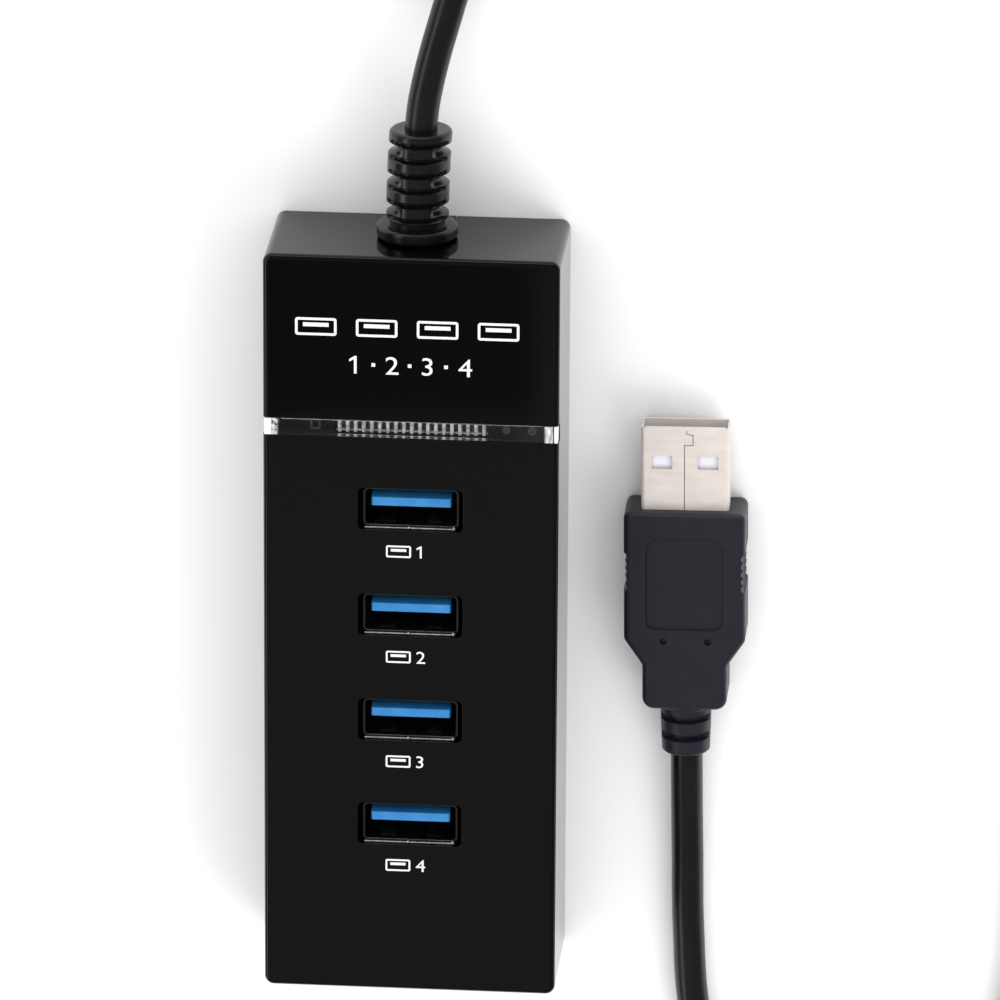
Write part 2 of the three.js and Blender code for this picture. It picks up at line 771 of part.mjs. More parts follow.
hub.add(node("top_shell", topShell(), glossBlack));
hub.add(node("back_cover", backCover(), glossBlack));
hub.add(node("light_bar", lightBar(), clearAcrylic));
hub.add(node("light_guide", lightGuide(), frosted));
hub.add(node("circuit_board", board(), boardGreen));

ports.forEach((y, i) => {
  hub.add(node(`port_shell_${i + 1}`, portShell(y), tinplate));
  hub.add(node(`port_tongue_${i + 1}`, portTongue(y), portBlue));
  CONTACT_X.forEach((x, j) => {
    hub.add(node(`port_${i + 1}_contact_${j + 1}`, portContact(x, y), gilt));
  });
});

hub.add(node("hub_controller", chip(CONTROLLER), chipBlack));
hub.add(node("voltage_regulator", chip(REGULATOR), chipBlack));
hub.add(node("crystal", crystal(...CRYSTAL_PLACE), canSilver));
CAPACITOR_PLACES.forEach(([x, y], i) => {
  hub.add(node(`capacitor_${i + 1}`, capacitor(x, y), canSilver));
});
LED_X.forEach((x, i) => {
  hub.add(node(`led_${i + 1}`, chip({ ...LED, x }), ledYellow));
});

SCREW_PLACES.forEach(([x, y], i) => {
  hub.add(node(`board_screw_${i + 1}`, boardScrew(x, y), screwZinc));
});

const CONDUCTORS = [
  { name: "red", colour: 0xb3201c, column: -1, upper: false },
  { name: "white", colour: 0xe6e6e2, column: 0, upper: false },
  { name: "black", colour: 0x161616, column: 1, upper: false },
  { name: "blue", colour: 0x2450a8, column: -1, upper: true },
  { name: "green", colour: 0x1d7a3c, column: 0, upper: true },
  { name: "orange", colour: 0xd0741c, column: 1, upper: true },
];
CONDUCTORS.forEach(({ name, colour, column, upper }) => {
  hub.add(node(`conductor_${name}`, conductor(column, upper), material(colour, 0.5)));
});

hub.add(node("cord_boot", cordBoot(), softBlack));
hub.add(node("cord", cord(), softBlack));

const plug = new THREE.Group();
plug.position.set(PLUG.x, PLUG.y, PLUG.axisZ);
plug.rotation.z = PLUG.turn;
plug.add(node("plug_overmold", plugOvermold(), plugBlack));
plug.add(node("plug_shell", plugShell(), plugNickel));
plug.add(node("plug_insulator", plugInsulator(), insulatorWhite));
CONTACT_X.forEach((x, j) => {
  plug.add(node(`plug_contact_${j + 1}`, plugContact(x), gilt));
});
hub.add(plug);

export default hub;
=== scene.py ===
# A slim four-port desk hub lying on its back, with its cord and plug.
# Lengths are in millimetres until a mesh is finished, and then in metres, in the frame's axes.

import math

import bmesh
import bpy
from mathutils import Matrix, Vector


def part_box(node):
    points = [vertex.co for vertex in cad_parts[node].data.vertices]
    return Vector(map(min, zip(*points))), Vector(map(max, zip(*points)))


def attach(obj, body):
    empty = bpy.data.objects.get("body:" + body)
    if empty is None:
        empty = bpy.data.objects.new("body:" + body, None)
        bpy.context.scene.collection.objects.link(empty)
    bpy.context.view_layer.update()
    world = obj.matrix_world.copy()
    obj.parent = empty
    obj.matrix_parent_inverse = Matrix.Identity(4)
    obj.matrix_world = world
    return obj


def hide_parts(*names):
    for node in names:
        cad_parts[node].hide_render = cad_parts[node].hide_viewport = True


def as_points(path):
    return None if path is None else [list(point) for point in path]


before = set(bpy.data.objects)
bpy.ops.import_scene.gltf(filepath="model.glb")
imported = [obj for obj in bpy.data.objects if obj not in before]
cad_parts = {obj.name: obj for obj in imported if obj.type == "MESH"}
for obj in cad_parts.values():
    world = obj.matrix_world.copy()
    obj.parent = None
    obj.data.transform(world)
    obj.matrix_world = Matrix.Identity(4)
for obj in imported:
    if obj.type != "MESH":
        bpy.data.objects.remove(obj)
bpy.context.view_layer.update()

# ---- Driving dimensions ----

MM = 0.001
ROOT = "root"
PROUD = 0.03  # the case's front stands this far under the frame's, so that the prints stay in its box
FINE = 12  # points in a quarter circle that shows
COARSE = 6  # points in a small quarter circle

CASE = {"corner": 1.3, "edge": 0.7, "back_edge": 0.25, "wall": 1.8, "front": 2.0, "inner_corner": 0.8}
PORT = {"width": 14.2, "height": 6.0, "corner": 0.7, "rim": 0.1}
CHANNEL = {"play": 0.1, "rim": 0.12}
COVER = {"ledge": 0.7, "thickness": 1.6, "corner": 1.15, "gap": 0.15}

CORD = {"diameter": 4.4, "axis_z": 9.4, "inside_boot": 14.0, "inside_neck": 3.0, "sides": 32}

PLUG_TURN = math.radians(0.7)
PLUG = {"tip": 23.675, "front": 11.925, "rear": -16.675, "end": -23.675, "axis_z": 4.1, "buried": 5}


def box_mm(node):
    low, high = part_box(node)
    return low / MM, high / MM


shell_high = box_mm("top_shell")[1]
HALF_WIDTH = shell_high.x
HALF_LENGTH = shell_high.y
TOP = shell_high.z - PROUD
INNER_END = HALF_LENGTH - CASE["wall"]

bar_low, bar_high = box_mm("light_bar")
BAR_Y = (bar_low.y + bar_high.y) / 2
BAR_HALF = (bar_high.y - bar_low.y) / 2
guide_low, guide_high = box_mm("light_guide")
socket_low, socket_high = box_mm("port_shell_1")

PORT_NUMBERS = range(1, 5)
SIDES = (-1, 1)


def port_y(number):
    low, high = box_mm(f"port_shell_{number}")
    return (low.y + high.y) / 2


def plug_centre():
    low, high = box_mm("plug_overmold")
    middle = (PLUG["front"] + PLUG["end"]) / 2
    x = (low.x + high.x) / 2 + math.sin(PLUG_TURN) * middle
    y = (low.y + high.y) / 2 - math.cos(PLUG_TURN) * middle
    return Vector((x, y, PLUG["axis_z"]))


# ---- Camera ----

CAMERA = {
    "place": (0.1079, 0.4552, 1.2149), "tilt": (-20.034, 4.303, 1.905), "lens": 341.0,
    "sensor_width": 36.0, "near": 0.05, "far": 20.0,
}


def make_camera():
    data = bpy.data.cameras.new("camera")
    data.lens = CAMERA["lens"]
    data.sensor_width = CAMERA["sensor_width"]
    data.clip_start = CAMERA["near"]
    data.clip_end = CAMERA["far"]
    camera = bpy.data.objects.new("camera", data)
    turn = Matrix.Identity(4)
    for angle, axis in zip(CAMERA["tilt"], "XYZ"):
        turn = turn @ Matrix.Rotation(math.radians(angle), 4, axis)
    camera.matrix_world = Matrix.Translation(CAMERA["place"]) @ turn
    bpy.context.scene.collection.objects.link(camera)
    bpy.context.scene.camera = camera


make_camera()

# ---- Mesh tools ----


def link(piece):
    bpy.context.scene.collection.objects.link(piece)
    return piece


def raw_piece(name, mesh_data):
    """A new object in metres from a bmesh in millimetres."""
    bmesh.ops.recalc_face_normals(mesh_data, faces=mesh_data.faces)
    mesh_data.transform(Matrix.Scale(MM, 4))
    mesh = bpy.data.meshes.new(name)
    mesh_data.to_mesh(mesh)
    mesh_data.free()
    return link(bpy.data.objects.new(name, mesh))


def evaluated_mesh(piece):
    graph = bpy.context.evaluated_depsgraph_get()
    graph.update()
    return bpy.data.meshes.new_from_object(piece.evaluated_get(graph), depsgraph=graph)


def apply_modifiers(piece):
    mesh = evaluated_mesh(piece)
    old = piece.data
    piece.modifiers.clear()
    piece.data = mesh
    bpy.data.meshes.remove(old)


def boolean(piece, tool_data, operation="DIFFERENCE"):
    """Cuts a bmesh out of a piece, or joins it on."""
    tool = raw_piece("tool", tool_data)
    modifier = piece.modifiers.new("boolean", "BOOLEAN")
    modifier.operation = operation
    modifier.solver = "EXACT"
    modifier.object = tool
    apply_modifiers(piece)
    mesh = tool.data
    bpy.data.objects.remove(tool)
    bpy.data.meshes.remove(mesh)


def dress(piece, material, angle=32, replaces=()):
    """Smooth shading with flat faces kept flat, then the material, the body and the slot."""
    mesh = piece.data
    mesh.shade_smooth()
    mesh.set_sharp_from_angle(angle=math.radians(angle))
    modifier = piece.modifiers.new("normals", "WEIGHTED_NORMAL")
    modifier.keep_sharp = True
    modifier.weight = 100
    apply_modifiers(piece)
    piece.data.materials.clear()
    piece.data.materials.append(material)
    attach(piece, ROOT)
    if replaces:
        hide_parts(*replaces)
    return piece


def quarter(steps):
    """Angles from nought to a right angle."""
    return [math.pi / 2 * step / steps for step in range(steps + 1)]


def circle(radius, centre=(0, 0), half=FINE):
    """Points round a circle, with this many steps in half of it."""
    turns = [math.pi * i / half for i in range(2 * half)]
    return [(centre[0] + radius * math.cos(a), centre[1] + radius * math.sin(a)) for a in turns]


def rounded_rect(width, height, radius, steps=FINE, centre=(0, 0)):
    """Counterclockwise points of a rectangle with round corners."""
    points = []
    for turned, (side_x, side_y) in enumerate([(1, 1), (-1, 1), (-1, -1), (1, -1)]):
        middle_x = centre[0] + side_x * (width / 2 - radius)
        middle_y = centre[1] + side_y * (height / 2 - radius)
        for step in range(steps + 1):
            angle = math.pi / 2 * (turned + step / steps)
            points.append((middle_x + radius * math.cos(angle), middle_y + radius * math.sin(angle)))
    return points


def inset_corners(corners, inset):
    """A counterclockwise polygon with every side moved inwards."""
    moved = []
    count = len(corners)
    for i in range(count):
        before = Vector(corners[i - 1])
        here = Vector(corners[i])
        after = Vector(corners[(i + 1) % count])
        first = (here - before).normalized()
        second = (after - here).normalized()
        bisector = Vector((-first.y - second.y, first.x + second.x))
        reach = 2 * inset / bisector.length_squared
        moved.append(here + bisector * reach)
    return moved


SMALLEST_RADIUS = 0.05


def rounded_polygon(corners, radii, inset=0.0, steps=COARSE):
    """A polygon's outline with an arc at each corner, after moving its sides inwards."""
    moved = inset_corners(corners, inset)
    points = []
    for i, here in enumerate(moved):
        to_before = (moved[i - 1] - here).normalized()
        to_after = (moved[(i + 1) % len(moved)] - here).normalized()
        half = to_before.angle(to_after) / 2
        convex = to_after.x * to_before.y - to_after.y * to_before.x > 0
        sign = 1 if convex else -1
        radius = max(radii[i] - sign * inset, SMALLEST_RADIUS)
        start = here + to_before * radius / math.tan(half)
        middle = here + (to_before + to_after).normalized() * radius / math.sin(half)
        sweep = math.pi - 2 * half
        from_angle = math.atan2(start.y - middle.y, start.x - middle.x)
        for step in range(steps + 1):
            angle = from_angle + sign * sweep * step / steps
            points.append((middle.x + radius * math.cos(angle), middle.y + radius * math.sin(angle)))
    return points


def loft(rings, joined=False):
    """A closed surface through rings that have the same number of points."""
    data = bmesh.new()
    rows = [[data.verts.new(point) for point in ring] for ring in rings]
    pairs = list(zip(rows, rows[1:]))
    if joined:
        pairs.append((rows[-1], rows[0]))
    for lower, upper in pairs:
        for i in range(len(lower)):
            j = (i + 1) % len(lower)
            data.faces.new((lower[i], lower[j], upper[j], upper[i]))
    if not joined:
        data.faces.new(list(reversed(rows[0])))
        data.faces.new(rows[-1])
    return data


def stack(levels, joined=False):
    """A body through plan outlines, each at its height."""
    return loft([[(x, y, z) for x, y in outline] for z, outline in levels], joined)


def prism(outline, low, high):
    return stack([(low, outline), (high, outline)])


def bar_along_x(section, low_x, high_x):
    return loft([[(x, y, z) for y, z in section] for x in (low_x, high_x)])


def bar_along_y(section, low_y, high_y):
    return loft([[(x, y, z) for x, z in section] for y in (low_y, high_y)])


def fillet(low, high, radius, steps=COARSE, bottom=None):
    """Levels (height, inset) of a body whose upper and lower edges are rounded."""
    lower = radius if bottom is None else bottom
    turns = quarter(steps)
    levels = [(low + lower * (1 - math.sin(a)), lower * (1 - math.cos(a))) for a in reversed(turns)]
    levels += [(high - radius * (1 - math.sin(a)), radius * (1 - math.cos(a))) for a in turns]
    return levels


def rounded_block(outline, low, high, edge, bottom=None, steps=COARSE):
    """A body with a plan outline(inset) between two heights, its edges rounded."""
    return stack([(z, outline(inset)) for z, inset in fillet(low, high, edge, steps, bottom)])


def flared_cutter(outline, low, face, rim):
    """A cutting tool for an opening whose edge at the face is rounded."""
    levels = [(low, outline(0))]
    for angle in quarter(COARSE):
        levels.append((face - rim + rim * math.sin(angle), outline(-rim * (1 - math.cos(angle)))))
    levels.append((face + 1, outline(-rim)))
    return stack(levels)


def plain_box(low, high):
    corners = [(low[0], low[1]), (high[0], low[1]), (high[0], high[1]), (low[0], high[1])]
    return prism(corners, low[2], high[2])


def soft_box(low, high, edge):
    """A box with all its edges a little rounded."""
    width = high[0] - low[0]
    height = high[1] - low[1]
    centre = ((low[0] + high[0]) / 2, (low[1] + high[1]) / 2)

    def outline(inset):
        return rounded_rect(width - 2 * inset, height - 2 * inset, edge * 1.1 - inset, 2, centre)

    return rounded_block(outline, low[2], high[2], edge, None, 2)


def merge(target, extra):
    """Adds one bmesh to another as a separate body."""
    mesh = bpy.data.meshes.new("merge")
    bmesh.ops.recalc_face_normals(extra, faces=extra.faces)
    extra.to_mesh(mesh)
    extra.free()
    target.from_mesh(mesh)
    bpy.data.meshes.remove(mesh)
    return target


def lathe_y(stations, sides, radius_at, centre_at):
    """A body round the Y axis whose radius depends on the place along Y and the angle."""
    rings = []
    for y in stations:
        x, z = centre_at(y)
        ring = []
        for i in range(sides):
            angle = -2 * math.pi * i / sides
            radius = radius_at(y, angle)
            ring.append((x + radius * math.cos(angle), y, z + radius * math.sin(angle)))
        rings.append(ring)
    return loft(rings)


def spread(first, last, count):
    return [first + (last - first) * i / (count - 1) for i in range(count)]


def smoothstep(low, high, value):
    t = min(max((value - low) / (high - low), 0.0), 1.0)
    return t * t * (3 - 2 * t)


# ---- Materials ----

NOISE_SPAN = (0.3, 0.7)  # the part of the noise's values that a variation is stretched over


def feed(tree, node, inputs):
    """Sets a node's inputs to values, or joins them to other nodes' sockets."""
    for key, value in inputs.items():
        if isinstance(value, bpy.types.NodeSocket):
            tree.links.new(value, node.inputs[key])
        else:
            node.inputs[key].default_value = value


def add_node(tree, kind, inputs, operation=None):
    node = tree.nodes.new(f"ShaderNode{kind}")
    if operation:
        node.operation = operation
    feed(tree, node, inputs)
    return node


def mix_colours(tree, share, other, first):
    """A colour, or a colour socket, mixed with another colour."""
    mix = tree.nodes.new("ShaderNodeMix")
    mix.data_type = "RGBA"
    feed(tree, mix, {"Factor": share, "A": first, "B": (*other, 1.0)})
    return next(output for output in mix.outputs if output.type == "RGBA")


def noise(tree, size_mm, detail=3.0, stretch=(1, 1, 1)):
    """Noise whose features are about this many millimetres across."""
    place = tree.nodes.new("ShaderNodeTexCoord").outputs["Object"]
    factors = [1 / (size_mm * MM * factor) for factor in stretch]
    scaled = add_node(tree, "VectorMath", {0: place, 1: factors}, "MULTIPLY")
    inputs = {"Scale": 1.0, "Detail": detail, "Vector": scaled.outputs[0]}
    return add_node(tree, "TexNoise", inputs).outputs["Fac"]


def ranged_noise(tree, low, high, *noise_facts):
    from_low, from_high = NOISE_SPAN
    inputs = {"From Min": from_low, "From Max": from_high, "To Min": low, "To Max": high}
    inputs["Value"] = noise(tree, *noise_facts)
    return add_node(tree, "MapRange", inputs).outputs["Result"]


def finished(name, colour, roughness, metallic=0.0, ior=1.5, rough=(), mottle=(), bump=(), also=()):
    """A material that varies a little. Each variation starts with its size in millimetres."""
    material = bpy.data.materials.new(name)
    material.use_nodes = True
    material.diffuse_color = (*colour, 1.0)
    tree = material.node_tree
    inputs = {"Base Color": (*colour, 1.0), "Roughness": roughness, "Metallic": metallic, "IOR": ior}
    inputs.update(also)
    if rough:
        size, low, high, *more = rough
        inputs["Roughness"] = ranged_noise(tree, low, high, size, *more)
    if mottle:
        size, other, *more = mottle
        share = ranged_noise(tree, 0.0, 1.0, size, *more)
        inputs["Base Color"] = mix_colours(tree, share, other, (*colour, 1.0))
    if bump:
        size, depth, strength, *more = bump
        height = noise(tree, size, *more)
        facts = {"Strength": strength, "Distance": depth * MM, "Height": height}
        inputs["Normal"] = add_node(tree, "Bump", facts).outputs["Normal"]
    feed(tree, tree.nodes["Principled BSDF"], inputs)
    return material


def grey(value):
    return (value, value, value)


def like(colour, roughness, **more):
    return {"colour": colour, "roughness": roughness, **more}


ALONG_Z = (1, 1, 8)
ACROSS_Y = (3, 1, 1)
ACRYLIC = 1.49
RUBBER = 1.42

LOOKS = {
    "gloss_black": like(
        (0.0008, 0.0009, 0.0011), 0.03, ior=1.36, rough=(14, 0.018, 0.042, 5), bump=(9, 0.004, 0.2, 1)
    ),
    "satin_black": like((0.006, 0.006, 0.0066), 0.42, rough=(6, 0.36, 0.48), bump=(0.35, 0.012, 0.5)),
    "white_ink": like(
        (0.8, 0.8, 0.83), 0.55, mottle=(0.25, (0.62, 0.62, 0.66)), bump=(0.1, 0.004, 0.4)
    ),
    "clear_acrylic": like(
        (0.97, 0.975, 0.98), 0.03, ior=ACRYLIC, rough=(5, 0.015, 0.06), bump=(3, 0.003, 0.2),
        also=[("Transmission Weight", 1.0)],
    ),
    # Painted light: the bar's white tips and end blocks are coloured to paint the light that the clear
    # bar's ends gather from the case's sides.
    "frosted_glow_acrylic": like(
        (0.86, 0.88, 0.9), 0.4, ior=ACRYLIC, mottle=(1.6, (0.7, 0.72, 0.74)), bump=(0.3, 0.02, 0.5),
        also=[("Subsurface Weight", 0.3), ("Subsurface Scale", 0.001)],
    ),
    "rib_acrylic": like(
        grey(0.97), 0.35, ior=ACRYLIC, mottle=(0.4, (0.3, 0.3, 0.31), 2), bump=(0.3, 0.03, 0.6)
    ),
    # Painted light and shade: the end blocks' pale colour with dark mottle and streaks paints the uneven
    # light in the bar's ends.
    "mottled_glow_acrylic": like(
        (0.72, 0.73, 0.74), 0.25, ior=ACRYLIC, mottle=(0.55, (0.012, 0.012, 0.013), 1),
        bump=(0.5, 0.03, 0.6),
    ),
    "streaked_glow_acrylic": like(
        (0.74, 0.74, 0.75), 0.25, ior=ACRYLIC, mottle=(0.9, (0.13, 0.13, 0.135), 1, (0.6, 2, 1)),
        bump=(0.5, 0.03, 0.5),
    ),
    # Also used for the light guide's under-block, where this dark colour is painted shade between the ribs.
    "clip_acrylic": like(
        (0.06, 0.06, 0.062), 0.5, ior=ACRYLIC, mottle=(0.6, (0.02, 0.02, 0.021)), bump=(0.4, 0.008, 0.4)
    ),
    "black_tape": like(
        (0.004, 0.004, 0.0042), 0.85, rough=(2, 0.75, 0.95), bump=(0.5, 0.01, 0.5),
        also=[("Specular IOR Level", 0.08)],
    ),
    # Painted shade: the sockets' sleeve metal is coloured dark to paint the shade inside the sockets, while
    # the lips keep the metal's own bright colour.
    "port_metal": like(
        grey(0.08), 0.28, metallic=1.0, rough=(1.2, 0.2, 0.38, 4, ALONG_Z), mottle=(3, grey(0.05)),
        bump=(0.25, 0.004, 0.4, 3, (1, 1, 10)),
    ),
    "lip_metal": like(
        (0.8, 0.78, 0.75), 0.3, metallic=1.0, rough=(0.8, 0.2, 0.5, 4, (6, 1, 1)),
        mottle=(0.7, (0.45, 0.44, 0.43)),
    ),
    "port_blue": like(
        (0.016, 0.17, 0.45), 0.36, mottle=(2.5, (0.026, 0.22, 0.52)), bump=(0.4, 0.01, 0.4)
    ),
    "gilt": like(
        (0.83, 0.58, 0.22), 0.24, metallic=1.0, rough=(0.6, 0.18, 0.34, 3, (1, 1, 6)),
        mottle=(0.9, (0.74, 0.5, 0.18)),
    ),
    "cord_black": like(
        (0.0036, 0.0036, 0.004), 0.3, ior=RUBBER, rough=(5, 0.25, 0.36), bump=(0.7, 0.012, 0.4)
    ),
    "boot_black": like(
        (0.003, 0.003, 0.0034), 0.24, ior=RUBBER, rough=(2.5, 0.18, 0.32), bump=(0.5, 0.014, 0.45)
    ),
    "plug_grey": like(
        (0.0068, 0.0078, 0.0165), 0.44, rough=(3, 0.4, 0.52), mottle=(4, (0.009, 0.0095, 0.017)),
        bump=(0.22, 0.014, 0.55),
    ),
    # The plug's nickel is mostly matt: its light colour carries the sleeve's own tone and paints the white
    # room's reflection.
    "plug_nickel": like(
        (0.78, 0.72, 0.665), 0.45, metallic=0.3, rough=(2, 0.4, 0.54, 4, (1, 8, 1)),
        mottle=(1.3, (0.69, 0.63, 0.58), 5, ACROSS_Y), bump=(0.5, 0.012, 0.6, 5, ACROSS_Y),
    ),
    "insulator_white": like(
        (0.78, 0.77, 0.83), 0.45, mottle=(2, (0.7, 0.69, 0.76)), bump=(0.4, 0.01, 0.4)
    ),
    "solder_mask": like(
        (0.01, 0.09, 0.035), 0.35, rough=(1.5, 0.28, 0.45), mottle=(2.2, (0.02, 0.15, 0.06), 6),
        bump=(0.9, 0.02, 0.4),
    ),
    "chip_epoxy": like((0.012, 0.012, 0.013), 0.55, rough=(0.4, 0.48, 0.66), bump=(0.12, 0.01, 0.6)),
    "can_metal": like(
        (0.62, 0.63, 0.65), 0.3, metallic=1.0, rough=(0.8, 0.24, 0.4, 3, (1, 1, 5)),
        bump=(0.3, 0.004, 0.3),
    ),
    "led_resin": like((0.75, 0.72, 0.5), 0.3, mottle=(0.8, (0.8, 0.76, 0.4)), bump=(0.2, 0.006, 0.3)),
    "screw_zinc": like(
        (0.45, 0.46, 0.48), 0.32, metallic=1.0, rough=(0.5, 0.25, 0.45), bump=(0.2, 0.006, 0.4)
    ),
}


def look(name):
    return finished(name, **LOOKS[name])


# ---- Cord ----

LIE = 2.25  # height of the cord's axis where it lies on the floor

# The route's points from the boot to the plug, in millimetres: out along the case's axis, down to
# the surface, round one wide loop and back up a little into the plug.
CORD_ROUTE = [
    (0.45, 68.6, 9.4), (0.8, 71.8, 9.1), (1.65, 76.2, 7.8), (2.95, 81.2, 5.7), (5.1, 88, 3.5),
    (9.6, 96, 2.4), (17.2, 103.2, LIE), (27.5, 107.8, LIE), (39, 109, LIE), (51.5, 108.8, LIE),
    (63.5, 107, LIE), (73.4, 101.2, LIE), (79.8, 91.4, LIE), (82.6, 78.5, LIE), (83.3, 64, LIE),
    (83.5, 46, LIE), (83.7, 28, LIE), (83.8, 10, LIE), (83.9, -8, LIE), (84.1, -26, LIE),
    (84.2, -42, LIE), (83.4, -56, LIE), (80.2, -67.5, LIE), (73.2, -77, LIE), (62.8, -82, LIE),
    (51.6, -80.6, LIE), (43, -73.6, LIE), (38.6, -62.5, LIE), (37.35, -49, LIE), (37.1, -38, 2.4),
    (36.97, -29, 3.4), (36.89, -21.975, 4.1),
]
STEPS_PER_SPAN = 9


def along_route(route, steps):
    """A centripetal Catmull-Rom curve through the route's points."""
    points = [Vector(p) for p in route]
    first = points[0] * 2 - points[1]
    last = points[-1] * 2 - points[-2]
    ends = [first, *points, last]
    curve = []
    for p0, p1, p2, p3 in zip(ends, ends[1:], ends[2:], ends[3:]):
        d0, d1, d2 = (math.sqrt((b - a).length) for a, b in ((p0, p1), (p1, p2), (p2, p3)))
        slope1 = ((p1 - p0) / d0 - (p2 - p0) / (d0 + d1) + (p2 - p1) / d1) * d1
        slope2 = ((p2 - p1) / d1 - (p3 - p1) / (d1 + d2) + (p3 - p2) / d2) * d1
        for step in range(steps):
            t = step / steps
            share1 = 2 * t**3 - 3 * t**2 + 1
            share2 = 3 * t**2 - 2 * t**3
            lean1 = t**3 - 2 * t**2 + t
            lean2 = t**3 - t**2
            curve.append(p1 * share1 + p2 * share2 + slope1 * lean1 + slope2 * lean2)
    curve.append(points[-1])
    return curve


def tube(points, radius, sides):
    """A round tube along points, its rings turned as little as possible from one to the next."""
    rings = []
    across = Vector((1, 0, 0))
    count = len(points)
    for i, point in enumerate(points):
        ahead = (points[min(i + 1, count - 1)] - points[max(i - 1, 0)]).normalized()
        across = (across - ahead * across.dot(ahead)).normalized()
        up = ahead.cross(across)
        ring = []
        for side in range(sides):
            angle = 2 * math.pi * side / sides
            ring.append(point + (across * math.cos(angle) + up * math.sin(angle)) * radius)
        rings.append(ring)
    return loft(rings)


def cord_path():
    start = Vector(CORD_ROUTE[0]) - Vector((0, CORD["inside_boot"], 0))
    curve = along_route(CORD_ROUTE, STEPS_PER_SPAN)
    last = (curve[-1] - curve[-2]).normalized()
    return [start, *curve, curve[-1] + last * CORD["inside_neck"]]


def make_cord():
    path = cord_path()
    cord = raw_piece("free_cord", tube(path, CORD["diameter"] / 2, CORD["sides"]))
    dress(cord, look("cord_black"), angle=60, replaces=["cord"])
    return cord, [point * MM for point in path]


cord, cord_line = make_cord()

# ---- Case ----

BACKING = {"reach": 2.8, "below": 2, "above": 0.5}
WINDOW_PLAY = {"x": 0.15, "y": 0.05}
BOOT_SLOT = 4.6
COVER_PANEL = {"width": 24, "length": 44, "corner": 1.5, "y": -8, "levels": [(-1, 0), (0, 0), (0.25, 0.15)]}
SADDLE = {"radius": 4.45, "tab_top": 8.4, "tab_back": 0.02}


def case_outline(inset):
    return rounded_rect(2 * (HALF_WIDTH - inset), 2 * (HALF_LENGTH - inset), CASE["corner"] - inset)


def inner_outline(inset, corner):
    return rounded_rect(2 * (HALF_WIDTH - inset), 2 * (HALF_LENGTH - inset), corner, COARSE)


def port_cutter(y, floor):
    def outline(inset):
        width = PORT["width"] - 2 * inset
        height = PORT["height"] - 2 * inset
        return rounded_rect(width, height, PORT["corner"] - inset, COARSE, (0, y))

    return flared_cutter(outline, floor, TOP, PORT["rim"])


def channel_cutter():
    """The light bar's channel across the front, its long edges a little rounded."""
    half = BAR_HALF + CHANNEL["play"]
    rim = CHANNEL["rim"]
    floor = bar_low.z - 0.1
    section = [(-half, floor), (half, floor)]
    turns = quarter(COARSE)
    right = [(half + rim * (1 - math.cos(a)), TOP - rim + rim * math.sin(a)) for a in turns]
    section += right + [(half + rim, TOP + 1), (-half - rim, TOP + 1)]
    section += [(-y, z) for y, z in reversed(right)]
    reach = HALF_WIDTH + 1
    return bar_along_x([(BAR_Y + y, z) for y, z in section], -reach, reach)


def boot_slot_cutter():
    """The U-shaped slot in the end wall, open to the back, for the cord's strain relief."""
    section = circle(BOOT_SLOT, (0, CORD["axis_z"]), 2 * FINE)[: 2 * FINE + 1]
    section += [(-BOOT_SLOT, -1), (BOOT_SLOT, -1)]
    return bar_along_y(section, INNER_END - 1, HALF_LENGTH + 1)


def make_top_shell():
    inside = TOP - CASE["front"]
    wall = CASE["wall"]
    block = rounded_block(case_outline, 0, TOP, CASE["edge"], CASE["back_edge"], FINE)
    shell = raw_piece("case_shell", block)
    boolean(shell, prism(inner_outline(wall, CASE["inner_corner"]), -1, inside))
    rebate = inner_outline(wall - COVER["ledge"], CASE["corner"])
    boolean(shell, prism(rebate, -1, COVER["thickness"] + COVER["gap"]))
    backing = HALF_WIDTH - wall / 2
    low = (-backing, BAR_Y - BACKING["reach"], inside - BACKING["below"])
    high = (backing, BAR_Y + BACKING["reach"], inside + BACKING["above"])
    boolean(shell, plain_box(low, high), "UNION")
    boolean(shell, channel_cutter())
    low = (guide_low.x - WINDOW_PLAY["x"], bar_low.y + WINDOW_PLAY["y"], inside - 4)
    high = (guide_high.x + WINDOW_PLAY["x"], bar_high.y - WINDOW_PLAY["y"], TOP + 1)
    boolean(shell, plain_box(low, high))
    for number in PORT_NUMBERS:
        boolean(shell, port_cutter(port_y(number), inside - 1))
    boolean(shell, boot_slot_cutter())
    dress(shell, look("gloss_black"), replaces=["top_shell"])


def make_back_cover():
    """The plate that closes the back, with the tab that fills the end wall's slot."""
    reach_x = HALF_WIDTH - CASE["wall"] + COVER["ledge"] - COVER["gap"]
    reach_y = INNER_END + COVER["ledge"] - COVER["gap"]

    def outline(inset):
        return rounded_rect(2 * (reach_x - inset), 2 * (reach_y - inset), COVER["corner"] - inset)

    def panel(inset):
        width = COVER_PANEL["width"] - 2 * inset
        length = COVER_PANEL["length"] - 2 * inset
        return rounded_rect(width, length, COVER_PANEL["corner"] - inset, COARSE, (0, COVER_PANEL["y"]))

    plate = raw_piece("back_plate", rounded_block(outline, 0, COVER["thickness"], 0.1, 0.3))
    boolean(plate, stack([(z, panel(inset)) for z, inset in COVER_PANEL["levels"]]))
    half = BOOT_SLOT - COVER["gap"]
    inner = INNER_END + COVER["gap"]
    high = (half, HALF_LENGTH - SADDLE["tab_back"], SADDLE["tab_top"])
    boolean(plate, plain_box((-half, inner, 0), high), "UNION")
    ends = [inner - 2, HALF_LENGTH + 1]
    axis = (0, CORD["axis_z"])
    boolean(plate, lathe_y(ends, 48, lambda y, a: SADDLE["radius"], lambda y: axis))
    dress(plate, look("satin_black"), replaces=["back_cover"])


make_top_shell()
make_back_cover()

# ---- Light bar ----

